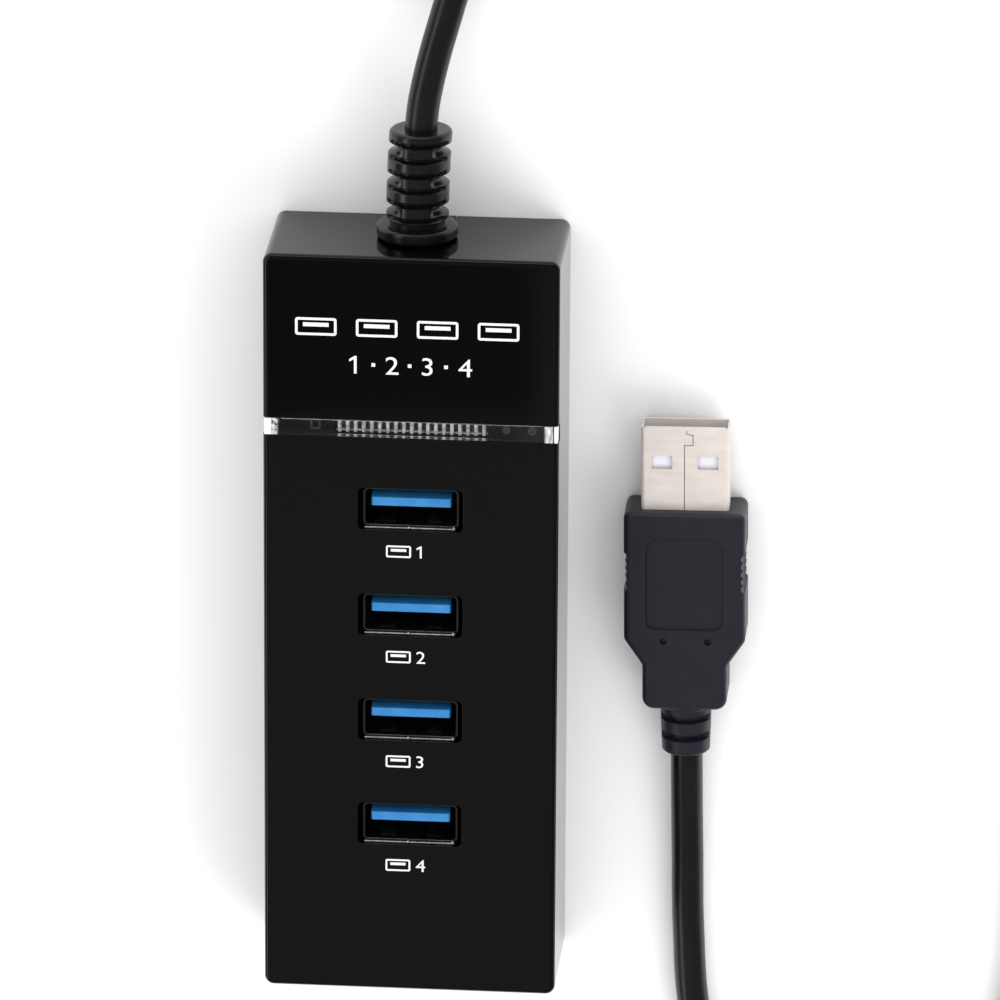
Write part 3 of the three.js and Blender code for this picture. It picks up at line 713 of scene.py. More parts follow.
BAR_EDGE = 0.09
BAR_GAP = 0.04  # between the bar and its end blocks
BAR_ENDS = (-17.95, 18.05)
BAR_TIPS = (-18.84, 19.35)  # where the white tips end, on the left and on the right
END_BLOCK = {"left": 0.85, "right": 0.14, "edge": 0.12, "peak": 0.9}
RIBS = {"count": 19, "depth": 0.9, "half": 0.24, "low_y": bar_low.y + 0.12, "high_y": bar_high.y - 0.12}
RAIL = {"width": 0.18, "inwards": 0.1, "ends": 0.05, "below": 0.35}
SUNK = 0.2  # how far the comb stands in the block that carries it
TAPE = {"low": 0.095, "high": 0.065, "beside": 0.3}
MARKS = {"low": 0.06, "high": 0.01}
PEGS = [(12.8, 0.55), (16.3, 0.6)]
CLIP = {"x": -13.0, "half": 0.7, "line": 0.3}


def make_light_bar():
    """The clear bar between its two end blocks."""
    low = (BAR_ENDS[0] + BAR_GAP, bar_low.y, bar_low.z)
    bar = soft_box(low, (BAR_ENDS[1] - BAR_GAP, bar_high.y, TOP), BAR_EDGE)
    dress(raw_piece("clear_bar", bar), look("clear_acrylic"), replaces=["light_bar"])


def faceted_end(low_x, high_x):
    """An end block whose floor rises to a ridge, its colour painting the light that the case's side sends
    up through the bar's end.
    """
    edge = END_BLOCK["edge"]
    section = [
        (low_x, TOP - edge),
        (low_x, bar_low.z),
        ((low_x + high_x) / 2, bar_low.z + END_BLOCK["peak"]),
        (high_x, bar_low.z),
        (high_x, TOP - edge),
        (high_x - edge, TOP),
        (low_x + edge, TOP),
    ]
    return bar_along_y(section, bar_low.y, bar_high.y)


def make_bar_ends():
    """White tips at the case's sides, and the cut blocks inside them, their colours painting the light that
    the bar's ends gather from the side.
    """
    frosted = look("frosted_glow_acrylic")
    left, right = BAR_TIPS
    ends = [
        ("bar_tip_left", bar_low.x, left, frosted),
        ("bar_end_left", left, left + END_BLOCK["left"], look("mottled_glow_acrylic")),
        ("bar_end_right", BAR_ENDS[1], right - END_BLOCK["right"], look("streaked_glow_acrylic")),
        ("bar_tip_right", right, bar_high.x, frosted),
    ]
    for name, low_x, high_x, material in ends:
        dress(raw_piece(name, faceted_end(low_x, high_x)), material)


def make_light_guide():
    """A comb of frosted ribs between two rails, on a block under the bar's middle whose dark colour paints
    the shade between the ribs.
    """
    pitch = (guide_high.x - guide_low.x) / RIBS["count"]
    floor = guide_high.z - RIBS["depth"]
    # Painted shade: the block under the ribs is dark so that the gaps between them read as shaded.
    dark = plain_box(guide_low, (guide_high.x, guide_high.y, floor))
    dress(raw_piece("guide_shade_block", dark), look("clip_acrylic"), replaces=["light_guide"])
    comb = bmesh.new()
    for i in range(RIBS["count"]):
        middle = guide_low.x + (i + 0.5) * pitch
        low = (middle - RIBS["half"], RIBS["low_y"], floor - SUNK)
        high = (middle + RIBS["half"], RIBS["high_y"], guide_high.z)
        merge(comb, soft_box(low, high, 0.1))
    ends = RAIL["ends"]
    top = guide_high.z - RAIL["below"]
    for y in (RIBS["low_y"] + RAIL["inwards"], RIBS["high_y"] - RAIL["inwards"] - RAIL["width"]):
        low = (guide_low.x + ends, y, floor - SUNK)
        merge(comb, soft_box(low, (guide_high.x - ends, y + RAIL["width"], top), 0.05))
    dress(raw_piece("guide_comb", comb), look("rib_acrylic"))


def make_bar_seat():
    """Matt black tape on the channel's floor, on both sides of the light guide."""
    low = bar_low.z - TAPE["low"]
    high = bar_low.z - TAPE["high"]
    beside = TAPE["beside"]
    tape = bmesh.new()
    for low_x, high_x in ((BAR_ENDS[0], guide_low.x - beside), (guide_high.x + beside, BAR_ENDS[1])):
        merge(tape, plain_box((low_x, bar_low.y, low), (high_x, bar_high.y, high)))
    dress(raw_piece("bar_seat", tape), look("black_tape"))


def make_bar_marks():
    """What shows dimly through the clear bar: two round pegs and a small U-shaped clip."""
    low = bar_low.z - MARKS["low"]
    high = bar_low.z - MARKS["high"]
    marks = bmesh.new()
    for x, radius in PEGS:
        merge(marks, prism(circle(radius, (x, BAR_Y)), low, high))
    x, half, line = CLIP["x"], CLIP["half"], CLIP["line"]
    foot = BAR_Y - half
    for low_x in (x - half, x + half - line):
        merge(marks, plain_box((low_x, foot, low), (low_x + line, BAR_Y + half, high)))
    merge(marks, plain_box((x - half, foot - 0.01, low), (x + half, foot + line, high)))
    dress(raw_piece("bar_marks", marks), look("clip_acrylic"))


make_light_bar()
make_bar_seat()
make_bar_marks()
make_bar_ends()
make_light_guide()

# ---- Ports ----

SLEEVE = {"sheet": 0.3, "corner": 0.8, "burr": 0.04, "base": 4.95}
SEAM = {"half": 0.06, "deep": 0.2, "low": 6}
SPRING = {"x": 3.2, "low": 8.5, "high": 16.6, "width": 2.0, "sheet": 0.22, "sunk": 0.05}
LEG = {"half_thickness": 0.14, "half_width": 0.9, "overlap": 0.4}
LIP = {
    "low_x": -6.25, "high_x": 5.9, "radius": 0.14, "outwards": 0.35, "rise": 0.4,
    "beads": [(-0.25, 0.24), (5.85, 0.3)],
}
TONGUE = {
    "half": 5.375, "front": 0.05, "back": 1.89, "low": 5.0, "top": 17.8, "lead": 0.55, "drop": 2.3,
    "edge": 0.18,
}
INSERT = {"half": 5.95, "back": 2.3, "top": 8.2, "posts": (-4.6, 4.6), "post_half": 0.5, "post_top": 12}
PAD = {"half": 0.35, "low": 16.5, "high": 17.1, "proud": 0.09, "edge": 0.04, "pitch": 2.0}


def sleeve(y, base, mouth):
    """A folded sheet sleeve with a flat sheared edge at its mouth."""
    sheet = SLEEVE["sheet"]
    burr = SLEEVE["burr"]
    levels = [(base, 0), (mouth - burr, 0), (mouth, burr)]
    levels += [(mouth, sheet - burr), (mouth - burr, sheet), (base, sheet)]

    def outline(inset):
        width = socket_high.x - socket_low.x - 2 * inset
        height = socket_high.y - socket_low.y - 2 * inset
        return rounded_rect(width, height, max(SLEEVE["corner"] - inset, 0.1), COARSE, (0, y))

    return stack([(z, outline(inset)) for z, inset in levels], joined=True)


def bead(x, y, z, radius):
    """A small ball."""
    stations = [y + radius * math.sin(turn) for turn in spread(-1.5, 1.5, 9)]
    return lathe_y(stations, 16, lambda at, a: math.sqrt(radius**2 - (at - y) ** 2), lambda at: (x, z))


def lead_in(y, mouth):
    """The lip under the opening: a rolled edge with a bead at its middle and one at its end."""
    wall = y - (socket_high.y - socket_low.y) / 2 + SLEEVE["sheet"] - LIP["outwards"]
    radius = LIP["radius"]
    crest = mouth + LIP["rise"]
    roll = circle(radius, (wall, crest - radius), COARSE)
    lip = bar_along_x(roll, LIP["low_x"], LIP["high_x"])
    for x, size in LIP["beads"]:
        merge(lip, bead(x, wall + size - radius, crest, size))
    return lip


def leaf_spring(x, y_wall, bulge):
    """A leaf pressed out of the sleeve's wall that grips a plug."""
    low, high = SPRING["low"], SPRING["high"]
    outer = []
    inner = []
    for height in spread(low, high, 12):
        share = (height - low) / (high - low)
        lean = bulge * math.sin(math.pi * share) ** 0.7 if share > 0 else 0
        outer.append((y_wall + lean, height))
        inner.append((y_wall + lean + math.copysign(SPRING["sheet"], bulge), height))
    half = SPRING["width"] / 2
    return bar_along_x(outer + list(reversed(inner)), x - half, x + half)


def make_port_sleeve(number, material, bright):
    low, high = box_mm(f"port_shell_{number}")
    y = port_y(number)
    metal = raw_piece(f"port_sleeve_{number}", sleeve(y, SLEEVE["base"], high.z))
    outside = (high.y - low.y) / 2
    seam_low = (-SEAM["half"], y - outside - 0.1, SEAM["low"])
    boolean(metal, plain_box(seam_low, (SEAM["half"], y - outside + SEAM["deep"], high.z + 1)))
    fittings = bmesh.new()
    inner = outside - SLEEVE["sheet"] + SPRING["sunk"]
    for x in (-SPRING["x"], SPRING["x"]):
        merge(fittings, leaf_spring(x, y - inner, 0.5))
        merge(fittings, leaf_spring(x, y + inner, -0.2))
    thin, wide = LEG["half_thickness"], LEG["half_width"]
    for side in SIDES:
        leg = side * (high.x - SLEEVE["sheet"] / 2)
        top = SLEEVE["base"] + LEG["overlap"]
        merge(fittings, plain_box((leg - thin, y - wide, low.z), (leg + thin, y + wide, top)))
    dress(metal, material, replaces=[f"port_shell_{number}"])
    dress(raw_piece(f"port_springs_{number}", fittings), material)
    dress(raw_piece(f"port_lip_{number}", lead_in(y, high.z)), bright)


def tongue_body(y):
    """The tongue, with a lead-in on the side away from the contacts."""
    front = y + TONGUE["front"]
    back = y + TONGUE["back"]
    low, top, lead = TONGUE["low"], TONGUE["top"], TONGUE["lead"]
    side = [
        (front, low),
        (back, low),
        (back, top - TONGUE["drop"]),
        (back - lead + 0.02, top - 0.05),
        (back - lead - 0.03, top),
        (front + 0.12, top),
        (front, top - 0.2),
    ]
    half, edge = TONGUE["half"], TONGUE["edge"]
    rings = []
    for x, inset in [(-half, edge), (-half + edge, 0), (half - edge, 0), (half, edge)]:
        rings.append([(x, v, z - (inset if z > low else 0)) for v, z in side])
    return loft(rings)


def make_port_insert(number, material):
    """The moulded insert: the tongue, the base it stands on and two posts."""
    y = port_y(number)
    front = y + TONGUE["front"]
    low = TONGUE["low"]
    half = INSERT["half"]
    body = tongue_body(y)
    merge(body, soft_box((-half, front - 0.02, low), (half, y + INSERT["back"], INSERT["top"]), 0.15))
    half = INSERT["post_half"]
    for x in INSERT["posts"]:
        corner = (x - half, front - 0.4, low + 0.2)
        merge(body, soft_box(corner, (x + half, front + 0.2, INSERT["post_top"]), 0.1))
    piece = raw_piece(f"port_insert_{number}", body)
    dress(piece, material, replaces=[f"port_tongue_{number}"])


def make_fast_contacts(number, material):
    """Five short pads at the tongue's tip, on the side of the long contacts."""
    face = port_y(number) + TONGUE["front"]
    half = PAD["half"]
    pads = bmesh.new()
    for i in range(5):
        x = (i - 2) * PAD["pitch"]
        low = (x - half, face - PAD["proud"], PAD["low"])
        merge(pads, soft_box(low, (x + half, face + 0.05, PAD["high"]), PAD["edge"]))
    dress(raw_piece(f"port_fast_contacts_{number}", pads), material)


def make_ports():
    # The sleeves' dark metal is painted shade inside the sockets.
    metal = look("port_metal")
    bright = look("lip_metal")
    blue = look("port_blue")
    gold = look("gilt")
    for number in PORT_NUMBERS:
        make_port_sleeve(number, metal, bright)
        make_port_insert(number, blue)
        make_fast_contacts(number, gold)


make_ports()

# ---- Cord's strain relief ----

BOOT = {
    "flange": 5.8, "neck": 4.3, "collar": 5.5, "core": 3.75, "ring": 4.25, "tip": 68.28, "bend": 0.0026,
    "play": 0.06,
}
COLLAR_END = HALF_LENGTH + 1.95
GROOVE_END = HALF_LENGTH + 2.7
BOOT_NOTCHES = [57.4, 61.6, 65.8]  # where the sides are notched
NOTCH = {"half": 0.85, "depth": 1.15}
SLIT = {"offset": 1.07, "half": 0.42, "depth": 0.7}  # slits across the front and the back


def dip(distance, half, depth):
    """The depth of a rounded groove at a distance from its middle."""
    share = min(abs(distance) / half, 1.0)
    return depth * (1 - share**2) ** 1.5


def round_edge(radius, near, edge):
    """A radius this near to its body's end, where the edge is rounded."""
    sunk = max(edge - near, 0.0)
    return radius - edge + math.sqrt(max(edge**2 - sunk**2, 0.0))


def boot_profile(y):
    """The strain relief's radius before it is notched."""
    if y < INNER_END - COVER["gap"]:
        return BOOT["flange"]
    if y < HALF_LENGTH + COVER["gap"]:
        return BOOT["neck"]
    if y <= COLLAR_END + 0.001:
        return round_edge(BOOT["collar"], min(y - HALF_LENGTH - COVER["gap"], COLLAR_END - y), 0.5)
    if y < GROOVE_END:
        return BOOT["core"]
    return round_edge(BOOT["ring"], min(y - GROOVE_END, BOOT["tip"] - y), 0.6)


def boot_radius(y, angle):
    radius = boot_profile(y)
    if y < GROOVE_END:
        return radius
    sideways = smoothstep(0.45, 0.72, abs(math.cos(angle)))
    upright = smoothstep(0.35, 0.62, abs(math.sin(angle)))
    for notch in BOOT_NOTCHES:
        radius -= sideways * dip(y - notch, NOTCH["half"], NOTCH["depth"])
        for side in SIDES:
            radius -= upright * dip(y - notch - side * SLIT["offset"], SLIT["half"], SLIT["depth"])
    return radius


def boot_centre(y):
    """The strain relief bends a little towards the cord's lie."""
    beyond = max(y - HALF_LENGTH - 2, 0.0)
    return BOOT["bend"] * beyond**2, CORD["axis_z"]


def make_boot():
    stations = [INNER_END - inwards for inwards in (1.9, 1.8, 0.3, 0.16, 0.14)]
    stations += [HALF_LENGTH + outwards for outwards in (0.14, 0.16)]
    stations += spread(HALF_LENGTH + 0.2, COLLAR_END, 22)
    stations += [HALF_LENGTH + outwards for outwards in (1.97, 2.3, 2.68)]
    stations += spread(HALF_LENGTH + 2.71, BOOT["tip"], 130)
    boot = raw_piece("strain_relief", lathe_y(stations, 96, boot_radius, boot_centre))
    radius = CORD["diameter"] / 2 + BOOT["play"]
    boolean(boot, tube([point / MM for point in cord_line[:4]], radius, CORD["sides"]))
    return dress(boot, look("boot_black"), angle=40, replaces=["cord_boot"])


boot = make_boot()

# ---- Plug ----

OVERMOLD = {"width": 16.6, "rear_width": 11.6, "thickness": 8.2, "edge": 0.95, "steps": 8}
OVERMOLD_STRAIGHT = 18.5
OVERMOLD_TAPER = 22.2
OVERMOLD_RADII = [1.6, 1.2, 1.4, 1.0, 1.0, 1.4, 1.2, 1.6]
GRIP = {"count": 5, "first": 6.46, "pitch": 1.08, "depth": 0.55, "radius": 0.6}
PANEL = {"width": 10.5, "first": 3.55, "last": 16.9, "depth": 0.45, "corner": 1.2, "wall": 0.24}
DIMPLES_X = (-2.9, 3.2)
DIMPLE = [(-0.6, 0.1), (-0.52, 0.34), (-0.1, 0.45), (0.05, 0.52), (1, 0.52)]  # heights and radii
NECK = {
    "radius": 3.55, "taper": 0.25, "length": 7, "flare": 0.5, "flare_length": 0.6, "slots": (1.75, 4.45),
    "slot_half": 0.5, "slot_depth": 0.95, "tip": 6.8, "tip_slope": 0.8, "bore": 2.26,
}
SOCKET = {"play": 0.08, "depth": 5.2}
PLUG_SLEEVE = {"width": 12.0, "height": 4.5, "sheet": 0.3, "corner": 0.6, "lip": 0.32}
PLUG_BASE = PLUG["front"] - PLUG["buried"]
PLUG_CONTACTS = [-3.5, -1.0, 1.0, 3.5]
WINDOW = {"x": 3.13, "width": 2.8, "first": 4.0, "last": 5.9}
JOINT = {"width": 0.12, "low": 0.42, "high": 0.4}
BLADE = {"side": 0.45, "low": 0.2, "above": 0.6, "tip": 0.4, "edge": 0.15}
GROOVE = {"half": 0.62, "low": -0.4, "high": 0.36, "tip": 1.2}
BLADE_ROOT = {"length": 3.2, "top": -0.3}


def dress_on_plug(piece, material, node, angle=32):
    """Moves a mesh from the plug's own axes to where the plug lies, and dresses it."""
    turn = Matrix.Translation(plug_centre() * MM) @ Matrix.Rotation(PLUG_TURN, 4, "Z")
    piece.data.transform(turn)
    return dress(piece, look(material), angle, replaces=[node])


def overmold_outline(inset):
    half = OVERMOLD["width"] / 2
    rear = OVERMOLD["rear_width"] / 2
    front = PLUG["front"]
    right = [
        (half, front),
        (half, front - OVERMOLD_STRAIGHT),
        (rear, front - OVERMOLD_TAPER),
        (rear, PLUG["rear"]),
    ]
    left = [(-x, y) for x, y in reversed(right)]
    return rounded_polygon([*reversed(right), *reversed(left)], OVERMOLD_RADII, inset)


def grip_cutter(side, y):
    """A round bar that cuts one scallop out of the side, so that points stand between them."""
    radius = GRIP["radius"]
    x = side * (OVERMOLD["width"] / 2 + radius - GRIP["depth"])
    return prism(circle(radius, (x, y)), -5, 5)


def panel_outline(inset):
    """The recess on the plug's face: bevelled corners towards the sleeve, rounded at the back."""
    half = PANEL["width"] / 2
    high = PLUG["front"] - PANEL["first"]
    low = PLUG["front"] - PANEL["last"]
    cut = PANEL["corner"]
    right = [(half, low), (half, high - cut), (half - cut, high)]
    left = [(-x, y) for x, y in reversed(right)]
    return rounded_polygon([*right, *left], [cut, 0.4, 0.4, 0.4, 0.4, cut], inset)


def panel_cutter():
    top = OVERMOLD["thickness"] / 2
    floor = top - PANEL["depth"]
    wall = PANEL["wall"]
    levels = [(floor, wall), (floor + 0.05, wall / 2), (top - 0.05, 0), (top, -0.05), (top + 1, -0.05)]
    return stack([(z, panel_outline(inset)) for z, inset in levels])


def dimple_cutter(x, y):
    top = OVERMOLD["thickness"] / 2
    return stack([(top + rise, circle(radius, (x, y))) for rise, radius in DIMPLE])


def neck_radius(y, angle):
    """The plug's ribbed neck: slots across its front and back, and a small flare at its root."""
    back = PLUG["rear"] - y
    radius = NECK["radius"] - NECK["taper"] * max(back, 0) / NECK["length"]
    radius += NECK["flare"] * max(0.0, 1 - max(back, 0) / NECK["flare_length"]) ** 2
    upright = smoothstep(0.3, 0.55, abs(math.sin(angle)))
    for slot_at in NECK["slots"]:
        share = min(abs(back - slot_at) / NECK["slot_half"], 1.0)
        radius -= upright * NECK["slot_depth"] * (1 - share**6)
    if back > NECK["tip"]:
        radius -= (back - NECK["tip"]) * NECK["tip_slope"]
    return radius


def make_overmold():
    half = OVERMOLD["thickness"] / 2
    block = rounded_block(overmold_outline, -half, half, OVERMOLD["edge"], None, OVERMOLD["steps"])
    piece = raw_piece("plug_grip", block)
    stations = spread(PLUG["end"], PLUG["rear"] - 0.1, 110) + spread(PLUG["rear"], PLUG["rear"] + 1.2, 3)
    boolean(piece, lathe_y(stations, 64, neck_radius, lambda y: (0, 0)), "UNION")
    for i in range(GRIP["count"]):
        for side in SIDES:
            boolean(piece, grip_cutter(side, PLUG["front"] - GRIP["first"] - i * GRIP["pitch"]))
    boolean(piece, panel_cutter())
    for x in DIMPLES_X:
        boolean(piece, dimple_cutter(x, PLUG["front"] - OVERMOLD_STRAIGHT))
    reach_x = PLUG_SLEEVE["width"] / 2 + SOCKET["play"]
    reach_z = PLUG_SLEEVE["height"] / 2 + SOCKET["play"]
    low = (-reach_x, PLUG["front"] - SOCKET["depth"], -reach_z)
    boolean(piece, plain_box(low, (reach_x, PLUG["front"] + 1, reach_z)))
    ends = [Vector((0, PLUG["end"] + along, 0)) for along in (-1, 4)]
    boolean(piece, tube(ends, NECK["bore"], CORD["sides"]))
    return dress_on_plug(piece, "plug_grey", "plug_overmold", 30)


def plug_ring(y, inset):
    width = PLUG_SLEEVE["width"] - 2 * inset
    height = PLUG_SLEEVE["height"] - 2 * inset
    corner = max(PLUG_SLEEVE["corner"] - inset, 0.15)
    return [(x, y, z) for x, z in rounded_rect(width, height, corner, COARSE)]


def seam_cutters():
    """The joint where the sheet's ends meet: straight, with a dovetail near the mouth."""
    top = PLUG_SLEEVE["height"] / 2
    tip = PLUG["tip"]
    half = JOINT["width"] / 2
    path = [(-0.07, PLUG["front"] - 1), (-0.07, tip - 2.45), (1.1, tip - 2.45)]
    path += [(1.1, tip - 1.0), (0.25, tip - 0.8), (0.25, tip + 1)]
    cutters = []
    for (x1, y1), (x2, y2) in zip(path, path[1:]):
        along = Vector((x2 - x1, y2 - y1)).normalized() * half
        aside = Vector((-along.y, along.x))
        start = Vector((x1, y1)) - along
        end = Vector((x2, y2)) + along
        corners = [start - aside, end - aside, end + aside, start + aside]
        cutters.append(prism([(c.x, c.y) for c in corners], top - JOINT["low"], top + JOINT["high"]))
    return cutters


def make_plug_sleeve():
    sheet = PLUG_SLEEVE["sheet"]
    tip = PLUG["tip"]
    straight = tip - PLUG_SLEEVE["lip"]
    levels = [(PLUG_BASE, 0), (straight, 0)]
    for step in range(1, COARSE):
        angle = math.pi * step / COARSE
        levels.append((tip - sheet / 2 * (1 - math.sin(angle)), sheet / 2 * (1 - math.cos(angle))))
    levels += [(straight, sheet), (PLUG_BASE, sheet)]
    piece = raw_piece("plug_sleeve", loft([plug_ring(y, inset) for y, inset in levels], joined=True))
    for side in SIDES:
        for face in SIDES:
            x = side * WINDOW["x"]
            z = face * PLUG_SLEEVE["height"] / 2
            low = (x - WINDOW["width"] / 2, tip - WINDOW["last"], z - 0.5)
            high = (x + WINDOW["width"] / 2, tip - WINDOW["first"], z + 0.5)
            boolean(piece, plain_box(low, high))
    for cutter in seam_cutters():
        boolean(piece, cutter)
    # The nickel's light colour is partly a painted reflection of the room.
    return dress_on_plug(piece, "plug_nickel", "plug_shell", 30)


def make_plug_insulator():
    """The white blade under the sleeve's upper face, grooved below for the contacts."""
    half = PLUG_SLEEVE["width"] / 2 - BLADE["side"]
    top = PLUG_SLEEVE["height"] / 2 - BLADE["above"]
    tip = PLUG["tip"]
    blade = soft_box((-half, PLUG_BASE, BLADE["low"]), (half, tip - BLADE["tip"], top), BLADE["edge"])
    piece = raw_piece("plug_blade", blade)
    reach = GROOVE["half"]
    for x in PLUG_CONTACTS:
        low = (x - reach, PLUG_BASE - 1, GROOVE["low"])
        boolean(piece, plain_box(low, (x + reach, tip - GROOVE["tip"], GROOVE["high"])))
    root = (half, PLUG_BASE + BLADE_ROOT["length"], BLADE_ROOT["top"])
    boolean(piece, plain_box((-half, PLUG_BASE, -top), root), "UNION")
    return dress_on_plug(piece, "insulator_white", "plug_insulator")


plug_pieces = [make_overmold(), make_plug_sleeve(), make_plug_insulator()]

# ---- Prints ----

INK_LOW = TOP - 0.02
INK_HIGH = TOP + 0.012
SOCKET_ROW = {"count": 4, "x": -15.6, "y": 41.75, "span": 30.2, "width": 5.6, "height": 2.5}
COUNT_ROW = {"x": -8.3, "y": 36.5, "height": 2.5, "step": 4.9, "dot_x": 3.0, "dot_y": 37.55, "dot": 0.5}
LABEL = {"x": -3.3, "below": 6.87, "width": 3.4, "height": 1.73, "numeral_x": 0.85}
WIDENED = 1.12  # how much wider the print's numerals are than the typeface's
FIGURE_ONE = [(0.16, 0), (0.25, 0), (0.25, 0.7), (0.18, 0.7), (0, 0.57), (0, 0.47), (0.16, 0.57)]


def ink_bar(low_x, low_y, width, height):
    return plain_box((low_x, low_y, INK_LOW), (low_x + width, low_y + height, INK_HIGH))


def socket_pictogram(x, y, width, height):
    """A generic socket: a frame with a solid tongue in its upper half."""
    line = height * 0.14
    corner = height * 0.15
    centre = (x + width / 2, y + height / 2)
    outer = rounded_rect(width, height, corner, COARSE, centre)
    inner = rounded_rect(width - 2 * line, height - 2 * line, max(corner - line, 0.03), COARSE, centre)
    rings = [(INK_LOW, outer), (INK_HIGH, outer), (INK_HIGH, inner), (INK_LOW, inner)]
    tongue = width * 0.62
    bar = ink_bar(x + (width - tongue) / 2, y + height * 0.5, tongue, height * 0.22)
    return merge(stack(rings, joined=True), bar)


def text_mesh(character):
    """A numeral of the built-in typeface as a bmesh, one unit thick about its middle."""
    curve = bpy.data.curves.new("numeral", "FONT")
    curve.body = character
    curve.size = 1.0
    curve.extrude = 0.5
    curve.resolution_u = 4
    text = link(bpy.data.objects.new("numeral", curve))
    mesh = evaluated_mesh(text)
    bpy.data.objects.remove(text)
    bpy.data.curves.remove(curve)
    data = bmesh.new()
    data.from_mesh(mesh)
    bpy.data.meshes.remove(mesh)
    bmesh.ops.remove_doubles(data, verts=data.verts, dist=1e-5)
    return data


def add_numeral(drawing, character, x, y, height):
    """Adds a numeral with its lower left corner at a place. The figure one has a flag."""
    data = prism(FIGURE_ONE, -0.5, 0.5) if character == "1" else text_mesh(character)
    xs = [v.co.x for v in data.verts]
    ys = [v.co.y for v in data.verts]
    scale = height / (max(ys) - min(ys))
    data.transform(Matrix.Translation((-min(xs), -min(ys), 0)))
    data.transform(Matrix.Diagonal((scale * WIDENED, scale, INK_HIGH - INK_LOW, 1)))
    data.transform(Matrix.Translation((x, y, (INK_LOW + INK_HIGH) / 2)))
    merge(drawing, data)


def finish_print(name, drawing, ink):
    dress(raw_piece(name, drawing), ink, angle=20)


def make_socket_print(ink):
    row = bmesh.new()
    width = SOCKET_ROW["width"]
    pitch = (SOCKET_ROW["span"] - width) / (SOCKET_ROW["count"] - 1)
    for i in range(SOCKET_ROW["count"]):
        x = SOCKET_ROW["x"] + i * pitch
        merge(row, socket_pictogram(x, SOCKET_ROW["y"], width, SOCKET_ROW["height"]))
    finish_print("socket_print", row, ink)


def make_count_print(ink):
    """The numerals one to four with dots between them."""
    count = bmesh.new()
    dot = COUNT_ROW["dot"]
    for number in PORT_NUMBERS:
        x = COUNT_ROW["x"] + (number - 1) * COUNT_ROW["step"]
        add_numeral(count, str(number), x, COUNT_ROW["y"], COUNT_ROW["height"])
        if number < PORT_NUMBERS[-1]:
            merge(count, ink_bar(x + COUNT_ROW["dot_x"], COUNT_ROW["dot_y"], dot, dot))
    finish_print("count_print", count, ink)


def make_port_print(number, ink):
    y = port_y(number) - LABEL["below"]
    label = bmesh.new()
    merge(label, socket_pictogram(LABEL["x"], y, LABEL["width"], LABEL["height"]))
    add_numeral(label, str(number), LABEL["numeral_x"], y, LABEL["height"])
    finish_print(f"port_print_{number}", label, ink)


def make_prints():
    ink = look("white_ink")
    make_socket_print(ink)
    make_count_print(ink)
    for number in PORT_NUMBERS:
        make_port_print(number, ink)


make_prints()

# ---- Inner pieces ----

PORT_CONTACTS = [f"port_{port}_contact_{i}" for port in PORT_NUMBERS for i in range(1, 5)]
INNER_LOOKS = {
    "gilt": PORT_CONTACTS + [f"plug_contact_{i}" for i in range(1, 5)],
    "solder_mask": ["circuit_board"],
    "chip_epoxy": ["hub_controller", "voltage_regulator"],
    "can_metal": ["crystal", "capacitor_1", "capacitor_2"],
    "led_resin": ["led_1", "led_2"],
    "screw_zinc": [f"board_screw_{i}" for i in range(1, 5)],
}
WIRE_COLOURS = {
    "red": (0.45, 0.015, 0.012),
    "white": (0.78, 0.78, 0.75),
    "black": (0.012, 0.012, 0.012),
    "green": (0.015, 0.2, 0.05),
    "blue": (0.02, 0.06, 0.4),
    "orange": (0.62, 0.16, 0.02),
}


def paint(node, material):
    """Gives a CAD node a material that is not shared with any other kind of piece."""
    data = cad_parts[node].data
    data.materials.clear()
    data.materials.append(material)


def paint_inner_pieces():
    for name, nodes in INNER_LOOKS.items():
        material = look(name)
        for node in nodes:
            paint(node, material)
    for name, colour in WIRE_COLOURS.items():
        jacket = finished(f"wire_{name}", colour, 0.42, rough=(1.5, 0.36, 0.5), bump=(0.3, 0.008, 0.4))
        paint(f"conductor_{name}", jacket)


paint_inner_pieces()

# ---- Stage and light ----

FLOOR_REACH = 3000
DAYLIGHT = 1.38  # the white room, as matt surfaces and the floor see it
GLOW_DIRECTION = Vector((-0.085, -0.33, 0.94)).normalized()
REFLECTED = [(0.0, 0.22), (0.8, 0.22), (0.93, 0.27), (0.985, 0.36), (1.0, 0.36)]
BLUER = 1.01  # how much bluer than grey the reflected room is
CARD = {"x": (-0.103, 0.0318), "y": (-0.294, 0.0402), "soft": 0.0015, "light": 0.11}


def make_floor():
    data = bmesh.new()
    corners = [(-1, -1), (1, -1), (1, 1), (-1, 1)]
    data.faces.new([data.verts.new((x * FLOOR_REACH, y * FLOOR_REACH, 0)) for x, y in corners])
    floor = raw_piece("floor", data)
    matt = [("Specular IOR Level", 0.0)]
    floor.data.materials.append(finished("floor", grey(0.86), 0.9, mottle=(60, grey(0.85)), also=matt))


def combine(tree, operation, first, second):
    """A sum done by the node tree on two sockets, or on a socket and a value."""
    return add_node(tree, "Math", {0: first, 1: second}, operation).outputs["Value"]


def within(tree, value, middle, half):
    """One where a socket is within the card's reach of a middle, zero beyond it."""
    away = combine(tree, "ABSOLUTE", combine(tree, "ADD", value, -middle), 0.0)
    ends = {"From Min": half + CARD["soft"], "From Max": half - CARD["soft"], "Value": away}
    ranging = add_node(tree, "MapRange", ends)
    ranging.interpolation_type = "SMOOTHSTEP"
    return ranging.outputs["Result"]


def card_light(tree, direction, room):
    """The room's light, less where a dark card stands over the upper front's reflection."""
    parts = add_node(tree, "SeparateXYZ", {"Vector": direction}).outputs
    inside_x = within(tree, parts["X"], *CARD["x"])
    inside_y = within(tree, parts["Y"], *CARD["y"])
    above = combine(tree, "GREATER_THAN", parts["Z"], 0.0)
    share = combine(tree, "MULTIPLY", combine(tree, "MULTIPLY", inside_x, inside_y), above)
    return mix_colours(tree, share, grey(CARD["light"]), room)


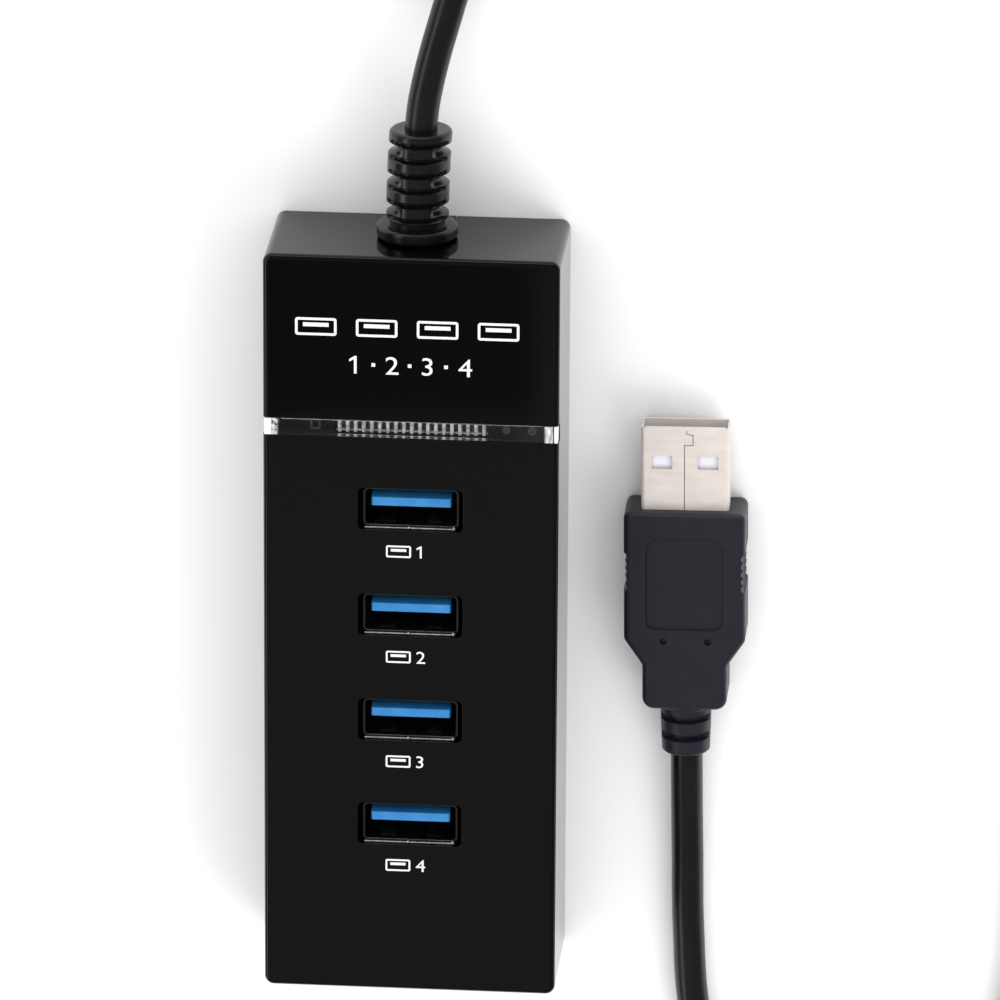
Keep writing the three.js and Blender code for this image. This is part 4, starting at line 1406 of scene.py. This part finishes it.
def room_ramp(tree, direction):
    """The reflected room's light, brightest towards the glow."""
    towards = add_node(tree, "VectorMath", {0: direction, 1: GLOW_DIRECTION}, "DOT_PRODUCT")
    ramp = add_node(tree, "ValToRGB", {"Fac": towards.outputs["Value"]})
    elements = ramp.color_ramp.elements
    while len(elements) < len(REFLECTED):
        elements.new(0.5)
    for element, (place, value) in zip(elements, REFLECTED):
        element.position = place
        element.color = (value, value, value * BLUER, 1)
    return ramp.outputs["Color"]


def dimmed_rays(tree):
    """One for the rays that mirror or refract the room, zero for those that light it."""
    rays = tree.nodes.new("ShaderNodeLightPath").outputs
    mirrored = combine(tree, "MULTIPLY", rays["Is Glossy Ray"], rays["Is Reflection Ray"])
    unscattered = combine(tree, "LESS_THAN", rays["Diffuse Depth"], 0.5)
    refracted = combine(tree, "MULTIPLY", rays["Is Transmission Ray"], unscattered)
    return combine(tree, "MAXIMUM", mirrored, refracted)


def make_world():
    """A white room whose reflection is dimmer, with a dark card over the case's upper front."""
    world = bpy.data.worlds.new("room")
    world.use_nodes = True
    tree = world.node_tree
    daylight = tree.nodes["Background"]
    feed(tree, daylight, {"Color": (1, 1, 1, 1), "Strength": DAYLIGHT})
    direction = tree.nodes.new("ShaderNodeTexCoord").outputs["Generated"]
    room = card_light(tree, direction, room_ramp(tree, direction))
    reflected = add_node(tree, "Background", {"Color": room})
    backgrounds = [node.outputs["Background"] for node in (daylight, reflected)]
    inputs = {"Fac": dimmed_rays(tree), 1: backgrounds[0], 2: backgrounds[1]}
    choice = add_node(tree, "MixShader", inputs).outputs["Shader"]
    feed(tree, tree.nodes["World Output"], {"Surface": choice})
    bpy.context.scene.world = world


def make_softbox(name, direction, distance, size, radiance, mirrored):
    """A soft light that either only glossy surfaces or only matt ones show."""
    light = bpy.data.lights.new(name, "AREA")
    light.shape = "RECTANGLE"
    light.size, light.size_y = size
    light.energy = radiance * math.pi * size[0] * size[1]
    lamp = link(bpy.data.objects.new(name, light))
    aim = Vector(direction).normalized()
    lamp.location = aim * distance
    lamp.rotation_euler = (-aim).to_track_quat("-Z", "Y").to_euler()
    lamp.visible_diffuse = not mirrored
    lamp.visible_glossy = mirrored


make_floor()
make_world()
make_softbox("strip_left", (-0.78, 0.0, 0.63), 1.4, (2.6, 0.36), 2.7, True)
make_softbox("strip_far", (-0.1, 0.93, 0.36), 1.5, (1.8, 0.3), 3.0, True)
make_softbox("key_right", (0.6, -0.45, 0.66), 1.6, (0.8, 0.8), 3.6, False)
bpy.context.scene.view_settings.view_transform = "Standard"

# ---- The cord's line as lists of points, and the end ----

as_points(cord_line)
